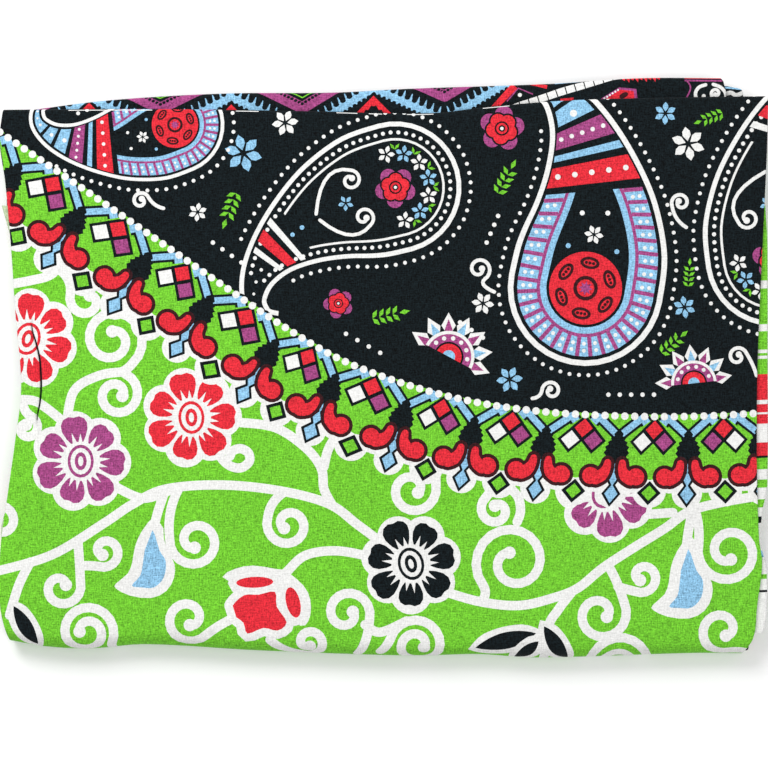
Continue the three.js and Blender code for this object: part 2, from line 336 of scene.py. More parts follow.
# Outline of the front panel, as in the part's own tables.
FAR_EDGE = EdgeCurve(
    (
        (-203, 136.0), (-123, 136.4), (-34, 135.2), (24, 134.2),
        (55, 137.6), (98, 141.0), (158, 142.6), (203, 143.2),
    )
)  # fmt: skip
NEAR_EDGE = EdgeCurve(
    (
        (-198, -143.8), (-178, -147.2), (-155, -148.2), (-126, -146.0), (-67, -149.2),
        (14, -152.0), (50, -151.2), (80, -153.0), (165, -150.6), (190, -150.8),
    )
)  # fmt: skip
LEFT_EDGE = EdgeCurve(
    (
        (-144, -197.8), (-125, -202.2), (-96, -202.0), (-68, -198.3), (-38, -194.1), (-10, -191.0),
        (30, -194.1), (62, -196.2), (98, -199.4), (120, -202.4), (136, -200.6),
    )
)  # fmt: skip
RIGHT_EDGE = EdgeCurve(
    (
        (-151, 189.4), (-141, 194.8), (-126, 196.3), (-103, 199.1), (-90, 197.4),
        (-43, 196.2), (8, 196.8), (67, 199.4), (115, 201.6), (143, 202.4),
    )
)  # fmt: skip
BACK_FOLD = EdgeCurve(
    (
        (-199, 134.4), (-154, 140.4), (-123, 143.0), (-81, 145.0), (-28, 145.4),
        (15, 147.5), (87, 150.0), (135, 153.0), (179, 153.0),
    )
)  # fmt: skip
BACK_LOW_FOLD = EdgeCurve(
    ((-198, 132.4), (-81, 142.6), (15, 144.4), (100, 147.8), (179, 149.4), (189.6, 147.6))
)
RIGHT_FOLD = EdgeCurve(
    (
        (-140, 199.6), (-131, 201.6), (-106, 201.6), (-92, 198.6), (-76, 199.4),
        (-62, 202.0), (8, 202.2), (67, 202.0), (86, 201.0),
    )
)  # fmt: skip
LEFT_FOLD = EdgeCurve(
    (
        (-135, -200.4), (-96, -201.0), (-84, -201.8), (-68, -197.4), (-38, -193.0),
        (-10, -189.8), (30, -193.0), (62, -195.4), (86, -201.6),
    )
)  # fmt: skip


# ---------------------------------------------------------------------------------------------
# The print
# ---------------------------------------------------------------------------------------------


class Print:
    """Printed shapes in the cloth's plane, in the order in which they are printed."""

    def __init__(self, ground: Ink) -> None:
        """Starts with bare ground."""
        self.ground = ground
        self.shapes: list[tuple[Ink, np.ndarray]] = []

    def polygon(self, ink: Ink, points: "np.ndarray | list[Point]") -> None:
        """Adds one simple polygon, turned against the clock.

        Args:
            ink: Its colour.
            points: Its corners, either way round.
        """
        ring = np.asarray(points, float)
        area = signed_area(ring)
        if abs(area) > 0.02:
            self.shapes.append((ink, ring if area > 0 else ring[::-1]))

    def disc(self, ink: Ink, centre: Point, radius: float, squash: float = 1.0, turn: float = 0.0) -> None:
        """Adds a disc, or an ellipse.

        Args:
            ink: Its colour.
            centre: Its middle.
            radius: Its half width.
            squash: Its height as a share of its width.
            turn: Degrees it is turned by.
        """
        sides = 8 + int(min(radius, 20.0) * 1.6)
        angle = np.linspace(0, 2 * math.pi, sides, endpoint=False)
        flat = np.stack([radius * np.cos(angle), radius * squash * np.sin(angle)], axis=1)
        self.polygon(ink, placed(flat, centre, turn))

    def ribbon(
        self, ink: Ink, path: np.ndarray, widths: "float | np.ndarray", round_ends: bool = True
    ) -> None:
        """Adds a stroke of changing width, as a chain of four-sided pieces with round ends.

        Args:
            ink: Its colour.
            path: Its middle line.
            widths: One width, or one for each point.
            round_ends: Whether discs close its ends.
        """
        half = np.broadcast_to(np.asarray(widths, float) / 2, (len(path),))
        side = normals_of(path) * half[:, None]
        left, right = path + side, path - side
        for k in range(len(path) - 1):
            self.polygon(ink, hull(np.array([left[k], left[k + 1], right[k + 1], right[k]])))
        if round_ends:
            for k in (0, -1):
                if half[k] > 0.4:
                    self.disc(ink, tuple(path[k]), float(half[k]))

    def rimmed(self, ink: Ink, ring: np.ndarray, rim_ink: Ink, rim: float) -> None:
        """Adds a shape with a rim round it.

        Args:
            ink: The shape's colour.
            ring: Its outline.
            rim_ink: The rim's colour.
            rim: The rim's width.
        """
        if rim:
            self.ribbon(rim_ink, np.concatenate([ring, ring[:2]]), 2 * rim)
        self.polygon(ink, ring)


def smooth_ring(points: list[Point], per_span: int) -> np.ndarray:
    """Closed smooth curve through a few points."""
    loop = [points[-2], points[-1], *points, points[0], points[1]]
    return smooth_path(loop, per_span)[2 * per_span : -2 * per_span - 1]


def signed_area(ring: np.ndarray) -> float:
    """A ring's area, more than 0 against the clock."""
    x, y = ring[:, 0], ring[:, 1]
    return float((x * np.roll(y, -1) - np.roll(x, -1) * y).sum() / 2)


def hull(points: np.ndarray) -> np.ndarray:
    """The convex ring round a few points, against the clock.

    Args:
        points: The points.

    Returns:
        The ring's corners.
    """
    rows = sorted(map(tuple, points))
    made: list[Point] = []
    for half in (rows, rows[::-1]):
        start = len(made)
        for x, y in half:
            while len(made) > start + 1:
                (ax, ay), (bx, by) = made[-2:]
                if (bx - ax) * (y - ay) - (by - ay) * (x - ax) > 1e-9:
                    break
                made.pop()
            made.append((x, y))
        made.pop()
    return np.array(made)


def placed(points: np.ndarray, centre: Point, turn: float, size: float = 1.0) -> np.ndarray:
    """Points turned by some degrees, scaled and moved to a centre.

    Args:
        points: Points round the origin.
        centre: Where the origin goes.
        turn: Degrees it is turned by.
        size: Their scale.

    Returns:
        The placed points.
    """
    angle = math.radians(turn)
    spin = np.array([[math.cos(angle), math.sin(angle)], [-math.sin(angle), math.cos(angle)]])
    return (np.asarray(points, float) * size) @ spin + np.array(centre)


def dressed_mesh(
    name: str, points: np.ndarray, polygons: list, flats: np.ndarray, inks: np.ndarray, wardrobe: Wardrobe
) -> bpy.types.Object:
    """Makes a smooth printed object.

    Args:
        name: Its name.
        points: Its points in millimetres.
        polygons: Vertex numbers of each face.
        flats: The same points in the flat cloth.
        inks: Each face's ink.
        wardrobe: The inks' materials.

    Returns:
        The new object.
    """
    mesh = bpy.data.meshes.new(name)
    mesh.from_pydata((points * MM).tolist(), [], polygons)
    piece = bpy.data.objects.new(name, mesh)
    bpy.context.scene.collection.objects.link(piece)
    wardrobe.dress(piece)
    mesh.polygons.foreach_set("material_index", inks.astype(np.int32))
    mesh.polygons.foreach_set("use_smooth", np.ones(len(mesh.polygons), bool))
    loops = np.zeros(len(mesh.loops), np.int32)
    mesh.loops.foreach_get("vertex_index", loops)
    layer = mesh.uv_layers.new(name="cloth")
    layer.uv.foreach_set("vector", (flats[loops] * MM).astype(np.float32).ravel())
    return piece


def around(centre: Point, reach: float, bearing: float) -> Point:
    """The point at a reach and a bearing, in degrees, from a centre."""
    angle = math.radians(bearing)
    return (centre[0] + reach * math.cos(angle), centre[1] + reach * math.sin(angle))


def even_seats(path: np.ndarray, pitch: float, start: float = 0.0) -> np.ndarray:
    """Places along a path at an even pitch, as fractional point numbers."""
    run = np.concatenate([[0], np.cumsum(np.linalg.norm(np.diff(path, axis=0), axis=1))])
    return np.interp(np.arange(start, run[-1], pitch), run, np.arange(len(path)))


def between(path: np.ndarray, seats: np.ndarray) -> np.ndarray:
    """A path's points at fractional point numbers."""
    numbers = np.arange(len(path))
    return np.stack([np.interp(seats, numbers, path[:, 0]), np.interp(seats, numbers, path[:, 1])], axis=1)


class Scroll(NamedTuple):
    """A vine's curl: middle and radius, where it starts, its sense and sweep, and its root."""

    x: float
    y: float
    radius: float
    start: float  # degrees
    turn: int  # +1 against the clock
    sweep: float  # degrees
    root_x: float
    root_y: float


class Bloom(NamedTuple):
    """A flower of the vine."""

    ink: Ink
    x: float
    y: float
    turn: float


class Leaf(NamedTuple):
    """A leaf: its middle and bearing, with its length and width, or a comma leaf's size as a share."""

    x: float
    y: float
    bearing: float
    length: float
    width: float


@dataclass
class VineGround:
    """Green ground with white vines, scrolls, leaves and seven-petalled flowers."""

    stroke: float = 4.9
    bulb: float = 3.3
    petal_reach: float = 23.6
    petal_seat: float = 15.6  # from a flower's middle to the middle of each petal's rim
    rim: float = 3.0  # white round a flower
    petals: int = 7
    rays: int = 21
    # Each petal's share of the reach.
    uneven: tuple[float, ...] = (1.0, 0.96, 1.02, 0.97, 1.03, 0.95, 1.01)

    STEMS: tuple[tuple[Point, ...], ...] = (
        ((-206, -107.5), (-175, -98.4), (-148, -82.1), (-132, -71.5), (-114.7, -63.6), (-85, -61.5),
         (-54, -64.7), (-29, -71.5), (-14, -82.3), (-1, -92)),
        ((-76, -28.6), (-57, -31.4), (-41, -42.1), (-33, -52.8), (-31.6, -63.5), (-27.6, -71.5)),
        ((-31.6, -52), (-29, -42), (-22, -31)),
        ((-58, -114), (-51, -107), (-41, -98.4), (-24, -96.2), (-4, -100)),
        ((-186, -102), (-192, -114), (-197, -130)),
        ((-114.8, -63.6), (-118.9, -75.6), (-121.5, -86)),
        ((62, -60), (70, -67), (71.8, -75), (70, -81)),
        ((30, -117), (50, -122.8), (70.8, -124.9), (89, -120.9), (102, -115.7), (115, -105.2),
         (131, -94.7), (147.6, -84.4), (160.6, -75.4), (180, -70.2), (206, -66)),
        ((99.4, -117), (91.5, -127.3), (86.3, -136.5), (84, -158)),
        ((162, -76), (159.9, -87), (158.7, -98)),
        ((118, -76), (134, -77), (152, -76)),
        ((-204, 43), (-186, 46), (-174, 50), (-166, 62)),
        ((-196, -16.8), (-183, -17.6), (-170, -27)),
        ((-137, -2), (-150, -4), (-163, -12), (-167, -30)),
        ((-10, -135), (-2, -139), (12, -133)),
        ((-142, -62), (-127, -68.5), (-113, -64.5)),
        ((-88, -41), (-85.4, -47.5), (-80.6, -51.6), (-75, -52.4), (-70.8, -49), (-71.4, -44.6),
         (-75.4, -42.4), (-79.6, -43.6), (-81, -46.4)),
    )  # fmt: skip
    SCROLLS: tuple[Scroll, ...] = (
        Scroll(-143, 15.0, 16.5, -50, 1, 500, -138, -2),
        Scroll(-140.6, -14, 11.8, 67, -1, 440, -138, -2),
        Scroll(-188, -31.5, 6.5, 70, -1, 330, -190, -17.6),
        Scroll(-202, -81, 9.0, 120, -1, 330, -207, -70),
        Scroll(-169.8, -115.2, 10.5, 15, -1, 350, -161, -91),
        Scroll(-147, -96.4, 8.5, -110, 1, 350, -158, -104),
        Scroll(-99.3, -91, 13.5, 175, 1, 450, -108, -63.5),
        Scroll(-50.3, -82.3, 11.5, 160, 1, 420, -52, -65),
        Scroll(-102.7, -132, 12.5, -40, -1, 400, -80, -132),
        Scroll(-156.4, -139, 14.5, -25, 1, 560, -139, -155),
        Scroll(-19.5, -129.0, 12.3, -15, 1, 390, -14, -152),
        Scroll(-39.6, -144.5, 8.5, -115, 1, 400, -60, -143),
        Scroll(15.0, -64, 12.6, 12, -1, 400, 27, -50),
        Scroll(59.1, -74.5, 8.5, 130, 1, 340, 60, -60),
        Scroll(67.8, -102.0, 20.0, -140, -1, 470, 52, -122),
        Scroll(113.8, -129.5, 14.0, 28, -1, 410, 118, -104),
        Scroll(135.9, -109.8, 8.5, -115, 1, 350, 123, -115),
        Scroll(181.4, -96.6, 16.4, 165, 1, 480, 163, -73),
        Scroll(178.2, -138, 12.5, -70, -1, 350, 200, -156),
        Scroll(125.3, -157.0, 16.5, 175, -1, 520, 106, -166),
        Scroll(17.4, -146.2, 14.5, 165, -1, 540, -2, -150),
        Scroll(-156.0, 36, 9.5, 160, 1, 260, -171, 52),
    )
    BLOOMS: tuple[Bloom, ...] = (
        Bloom(Ink.RED, -187.4, 15.4, -18),
        Bloom(Ink.PURPLE, -159.5, -49, -2),
        Bloom(Ink.RED, -101.3, -26, 2),
        Bloom(Ink.BLACK, 14.2, -103, 13),
        Bloom(Ink.PURPLE, 116.5, -65.5, -31),
    )
    BLACK_LEAVES: tuple[Leaf, ...] = (
        Leaf(-188.6, -136, -60, 25, 7.5),
        Leaf(64, -143.5, 14, 33, 9),
        Leaf(75, -149.5, 222, 17, 6.5),
        Leaf(90.5, -146, -58, 24, 8),
    )
    BLUE_LEAVES: tuple[Leaf, ...] = (
        Leaf(-123.0, -102.6, 0, 1.0, 24),
        Leaf(159.4, -113.0, 2, 1.02, 24),
    )  # comma leaves, whose length is a share of the chart's
    TULIP: tuple[float, float, float] = (-65.0, -128.5, 0.0)  # x, y, degrees

    def print_on(self, art: Print, move: Callable[[np.ndarray], np.ndarray] = lambda p: p) -> None:
        """Prints the whole ground.

        Args:
            art: The print to add to.
            move: How the chart is laid on this stretch of the cloth.
        """
        chart = Print(art.ground)
        for stem in self.STEMS:
            chart.ribbon(Ink.WHITE, smooth_path(list(stem), 7), self.stroke)
        for scroll in self.SCROLLS:
            self.scroll(chart, scroll)
        for leaf in self.BLACK_LEAVES:
            self.pointed_leaf(chart, leaf, Ink.BLACK)
        for leaf in self.BLUE_LEAVES:
            self.comma_leaf(chart, leaf)
        self.tulip(chart)
        for bloom in self.BLOOMS:
            self.flower(chart, bloom)
        for ink, points in chart.shapes:
            art.polygon(ink, move(points))

    def scroll(self, art: Print, row: Scroll) -> None:
        """Prints one curl with its round bulb, led in from its root.

        Args:
            art: The print to add to.
            row: Its row in the table.
        """
        steps = max(int(row.sweep / 17), 8)
        share = np.linspace(0, 1, steps)
        angle = np.radians(row.start + row.turn * row.sweep * share)
        reach = row.radius * (1 - 0.74 * share**1.25)
        curl = np.stack([row.x + reach * np.cos(angle), row.y + reach * np.sin(angle)], axis=1)
        root = np.array([row.root_x, row.root_y])
        way = curl[0] - curl[1]
        bend = curl[0] + way / np.linalg.norm(way) * 0.55 * np.linalg.norm(root - curl[0])
        t = np.linspace(0, 1, 8)[:-1, None]
        lead = root * (1 - t) ** 2 + bend * 2 * t * (1 - t) + curl[0] * t**2
        art.ribbon(Ink.WHITE, np.concatenate([lead, curl]), self.stroke)
        art.disc(Ink.WHITE, tuple(curl[-1]), self.bulb)

    def pointed_leaf(self, art: Print, row: Leaf, ink: Ink) -> None:
        """Prints a leaf with two pointed ends and a white rim.

        Args:
            art: The print to add to.
            row: Its row in the table.
            ink: Its colour.
        """
        share = np.linspace(0, 1, 13)
        for grow, colour in ((3.0, Ink.WHITE), (0.0, ink)):
            rim = grow * np.minimum(1, 6 * share * (1 - share))
            half = (row.width / 2) * np.sin(math.pi * share) ** 0.8 + rim
            long = row.length + 2.6 * grow
            side = np.stack([(share - 0.5) * long, half], axis=1)
            other = np.stack([(share[-2:0:-1] - 0.5) * long, -half[-2:0:-1]], axis=1)
            art.polygon(colour, placed(np.concatenate([side, other]), (row.x, row.y), row.bearing))

    def comma_leaf(self, art: Print, row: Leaf) -> None:
        """Prints a light-blue leaf with a pointed tail that turns aside.

        Args:
            art: The print to add to.
            row: Its row in the table.
        """
        belly = smooth_ring(
            [(1.2, 17.4), (5.0, 6.5), (8.2, 1.0), (7.2, -7.5), (2.0, -12.8), (-4.5, -12.8), (-9.6, -11.8),
             (-5.2, -6.5), (-3.6, 1.5), (-2.4, 9.0)], 3
        )  # fmt: skip
        rim = smooth_ring(
            [(2.5, 25.0), (-4.5, 16.6), (-8.0, 8.5), (-9.4, 0.5), (-11.8, -5.5), (-18.0, -10.8),
             (-18.0, -13.4), (-10.6, -17.1), (0.5, -18.4), (8.6, -14.6), (12.6, -7.5), (12.8, -0.5),
             (9.8, 5.5), (7.2, 13.0), (6.6, 23.0)], 2
        )  # fmt: skip
        for ink, ring in ((Ink.WHITE, rim), (Ink.BLUE, belly)):
            art.polygon(ink, placed(ring, (row.x, row.y), row.bearing, row.length))

    def tulip(self, art: Print) -> None:
        """Prints the red bud: a cup with a wavy foot, and two side petals.

        Args:
            art: The print to add to.
        """
        x, y, turn = self.TULIP
        cup = smooth_ring(
            [(-14.6, 3.5), (-8.6, 9.0), (-1.0, 9.3), (7.6, 10.8), (8.6, 3.0), (13.8, -5.2), (9.0, -9.6),
             (1.6, -8.2), (-6.8, -11.2), (-9.0, -5.4), (-14.2, -1.2)], 3
        )  # fmt: skip
        angle = np.linspace(0, 2 * math.pi, 18, endpoint=False)
        petal = np.stack([np.cos(angle), np.sin(angle)], axis=1)
        rows = (((-3, 15.8), (9.8, 2.9), 2), ((17.2, 5.2), (3.7, 8.2), 14))
        petals = [placed(petal * half, at, lean) for at, half, lean in rows]
        sepal = [(-20, 18.6), (-13, 23.0), (-4, 24.6), (7.5, 22.9), (14, 20.8), (0.0, 11.0), (-14.0, 12.0)]
        aside = [(10, 22), (19, 17.6), (25, 10.5), (26.6, 2.5), (25.2, -4.6), (21.0, -7.0), (12, 2)]
        for ring in (sepal, aside):
            art.polygon(Ink.WHITE, placed(smooth_ring(ring, 2), (x, y), turn))
        for shape in (cup, *petals):
            art.rimmed(Ink.WHITE, placed(shape, (x, y), turn), Ink.WHITE, 4.4)
        for shape in (cup, *petals):
            art.polygon(Ink.RED, placed(shape, (x, y), turn))

    def flower(self, art: Print, row: Bloom) -> None:
        """Prints one flower: rim, petals, rays and the ringed eye.

        Args:
            art: The print to add to.
            row: Its row in the table.
        """
        centre = (row.x, row.y)
        petal = np.array(
            [(8.6, -5), (10.5, -19), (13.5, -22.2), (17.2, -22.6), (20.2, -20.2), (22.2, -15.5),
             (23.2, -8.6), (22.7, -1.5), (23.6, 5), (23.0, 12.6), (20.8, 18.8), (17.6, 22.2),
             (13.5, 22.2), (10.5, 18.5), (8.6, 5)]
        )  # fmt: skip
        spin = 360 / self.petals
        for k in range(self.petals):
            spot = around(centre, self.petal_seat, row.turn + k * spin)
            art.disc(Ink.WHITE, spot, self.petal_reach - self.petal_seat + self.rim)
        art.disc(Ink.WHITE, centre, 17.0)
        for k in range(self.petals):
            angle = np.radians(petal[:, 1] + row.turn + k * spin)
            reach = petal[:, 0] * np.where(petal[:, 0] > 12, self.uneven[k], 1.0)
            flat = np.stack([row.x + reach * np.cos(angle), row.y + reach * np.sin(angle)], axis=1)
            art.polygon(row.ink, flat)
        for k in range(self.rays):
            long = (15.6, 13.4, 14.6)[k % 3]
            ray = np.array([(8.0, -1.55), (long, 0.0), (8.0, 1.55)])
            art.polygon(Ink.WHITE, placed(ray, centre, row.turn + 7 + k * 360 / self.rays))
        art.disc(Ink.WHITE, centre, 10.3)
        eye = ((6.9, 1.26, row.ink), (5.4, 1.3, Ink.WHITE), (3.2, 1.5, row.ink), (1.4, 1.9, Ink.WHITE))
        for half, tall, ink in eye:
            art.disc(ink, centre, half, tall, row.turn + 2)


@dataclass
class Border:
    """The band round the black field: beads, zigzag, knots, diamonds, swags and pendants."""

    pitch: float = 39.0  # one unit of the band, in the chart
    base: float = 14.7  # from the bead line down to the line of the knots
    bead: float = 2.0
    bead_pitch: float = 5.2
    outline: float = 1.6
    lean: float = 0.115  # how far the flatter units hang aside, for each millimetre down
    KNOTS: tuple[Point, ...] = (
        (-262, 147), (-228.7, 124.4), (-195.2, 101.6), (-161.7, 78.8), (-126.8, 54.7), (-94.2, 32.1),
        (-59.8, 8.9), (-27.6, -9.5), (10.3, -23.6), (46.5, -32.6), (84.5, -37.8), (122.9, -39.9),
        (160, -40.2), (197.8, -38.4), (236, -35), (274, -30),
    )  # fmt: skip
    KNOT: tuple[Point, ...] = (
        (0.9, 7.6), (2.6, 9.4), (2.2, 10.6), (4.2, 11.6), (3.6, 12.8), (5.4, 13.8), (4.8, 15.0), (6.6, 16.4),
        (5.7, 17.8), (6.9, 19.4), (5.6, 21.0), (5.4, 23.4), (2.2, 24.8),
    )  # right half: along, down  # fmt: skip
    SWAG: tuple[tuple[float, float, float], ...] = (
        (3.9, 24.6, 3.8), (4.3, 27.8, 4.8), (6.2, 31.2, 6.6), (9.2, 33.0, 7.0),
    )  # along, down, width  # fmt: skip
    BALL: tuple[float, float, float] = (11.9, 31.8, 4.6)  # along, down, radius

    def __post_init__(self) -> None:
        """Samples the line of the knots and its normals."""
        self.line = smooth_path(list(self.KNOTS), 12)
        self.down = -normals_of(self.line)
        self.units = len(self.KNOTS) - 1

    def at(self, unit: float, along: float, depth: float) -> Point:
        """Plan point of a place in the band.

        Args:
            unit: The unit's number.
            along: Millimetres from the unit's first knot, for a unit of the chart's pitch.
            depth: Millimetres down from the bead line.

        Returns:
            The point in the cloth's plane.
        """
        seat = np.clip((unit + along / self.pitch) * 12, 0, len(self.line) - 1.001)
        k, t = int(seat), seat - int(seat)
        point = self.line[k] * (1 - t) + self.line[k + 1] * t
        way = self.down[k] * (1 - t) + self.down[k + 1] * t
        way = way / np.linalg.norm(way)
        aside = self.lean * math.exp(-(((seat / 12 - 10.6) / 1.5) ** 2))
        return tuple(point + (way + np.array([way[1], -way[0]]) * aside) * (depth - self.base))

    def shape(self, art: Print, ink: Ink, unit: float, points: list[Point]) -> None:
        """Prints a polygon given by (along, depth) places of one unit."""
        art.polygon(ink, np.array([self.at(unit, a, d) for a, d in points]))

    def diamond(self, art: Print, ink: Ink, unit: float, at: Point, half: Point) -> None:
        """Prints a diamond of the given half diagonals."""
        a, d = at
        self.shape(art, ink, unit, [(a + half[0], d), (a, d - half[1]), (a - half[0], d), (a, d + half[1])])

    def bead_line(self) -> np.ndarray:
        """The bead line as an array of points."""
        return self.line - self.down * self.base

    def field(self, art: Print) -> None:
        """Prints the black field above the bead line."""
        line = self.bead_line()
        art.polygon(Ink.BLACK, np.concatenate([line, np.array([(line[-1][0], 240.0), (line[0][0], 240.0)])]))

    def swag(self, art: Print, ink: Ink, unit: int, grow: float) -> None:
        """Prints both swags of a unit, grown by some millimetres all round.

        Args:
            art: The print to add to.
            ink: Its colour.
            unit: The unit's number.
            grow: Millimetres added all round.
        """
        for mirror in (False, True):
            rows = [(self.pitch - a if mirror else a, d, w) for a, d, w in self.SWAG]
            path = smooth_path([self.at(unit, a, d) for a, d, _ in rows], 3)
            marks = np.linspace(0, 1, len(rows))
            widths = np.interp(np.linspace(0, 1, len(path)), marks, [w for *_, w in rows])
            art.ribbon(ink, path, widths + 2 * grow)
            along, depth, radius = self.BALL
            art.disc(ink, self.at(unit, self.pitch - along if mirror else along, depth), radius + grow)

    def pendant(self, art: Print, unit: int, grow: float, ink: Ink) -> None:
        """Prints the hanging drops under a knot, grown by some millimetres."""
        for depth, half in ((27.4, (0.8, 2.6)), (33.2, (2.1, 3.8)), (41.0, (3.4, 4.9))):
            self.diamond(art, ink, unit, (0, depth), (half[0] + grow, half[1] + 1.3 * grow))

    def print_on(self, art: Print) -> None:
        """Prints the whole band over the ground.

        Args:
            art: The print to add to.
        """
        middle = self.pitch / 2
        units = range(self.units)
        for k in units:
            self.swag(art, Ink.WHITE, k, 3.9)
            art.ribbon(Ink.WHITE, np.array([self.at(k, 0, 26), self.at(k, 0, 40)]), 12.5)
            art.disc(Ink.WHITE, self.at(k, 0, 40.6), 8.0)
            art.disc(Ink.WHITE, self.at(k, middle, 39.0), 9.0)
        upper, lower = [], []
        for step in range(self.units * 12 - 6):
            share = (step % 12) / 12
            upper.append(self.at(0, self.pitch * step / 12, -1.0))
            lower.append(self.at(0, self.pitch * step / 12, 23.0 + 10.4 * math.sin(math.pi * share) ** 2))
        art.polygon(Ink.LIME, np.array(upper + lower[::-1]))
        for width, ink in ((6.0, Ink.BLACK), (3.4, Ink.BLUE)):
            for k in units:
                for side in (-1, 1):
                    rows = ((-19.0, 10.4), (-7.2, 0.6), (-4.6, 3.6))
                    spots = np.array([self.at(k, middle + side * a, d) for a, d in rows])
                    art.ribbon(ink, spots[:2], width)
                    art.ribbon(ink, spots[1:], width + 0.8, round_ends=False)
        for k in units:
            half = list(self.KNOT)
            knot = half + [(-a, d) for a, d in reversed(half)]
            self.shape(art, Ink.BLACK, k, knot)
            squares = ((0.0, 7.0, Ink.RED), (-6.1, 13.4, Ink.WHITE), (6.1, 13.4, Ink.PURPLE))
            flip = -1 if k >= 12 else 1
            for a, d, _ in squares:
                self.diamond(art, Ink.BLACK, k, (middle + a * flip, d), (6.9, 7.1))
            for a, d, ink in squares:
                self.diamond(art, ink, k, (middle + a * flip, d), (4.9, 4.9))
        for k in units:
            self.diamond(art, Ink.BLACK, k, (middle, 40.2), (6.2, 6.4))
            self.diamond(art, Ink.LIME, k, (middle, 40.2), (3.8, 4.0))
            art.ribbon(Ink.BLACK, np.array([self.at(k, 0, 22.0), self.at(k, 0, 28.5)]), 3.4, round_ends=False)
            self.pendant(art, k, self.outline, Ink.BLACK)
            self.pendant(art, k, 0.0, Ink.BLUE)
        for k in units:
            self.swag(art, Ink.MAROON, k, 1.75)
        for k in units:
            self.swag(art, Ink.RED, k, -0.1)
        self.beads(art)

    def beads(self, art: Print) -> None:
        """Prints the ring of white beads along the edge of the black field.

        Args:
            art: The print to add to.
        """
        line = self.bead_line()
        for spot in between(line, even_seats(line, self.bead_pitch)):
            art.disc(Ink.WHITE, tuple(spot), self.bead)


class Boteh(NamedTuple):
    """A paisley: middle of its belly, height, bearing of its tip in degrees, and its hand."""

    x: float
    y: float
    height: float
    bearing: float
    hand: int
    garden: bool = False  # filled with flowers and curls, not with a banded rim


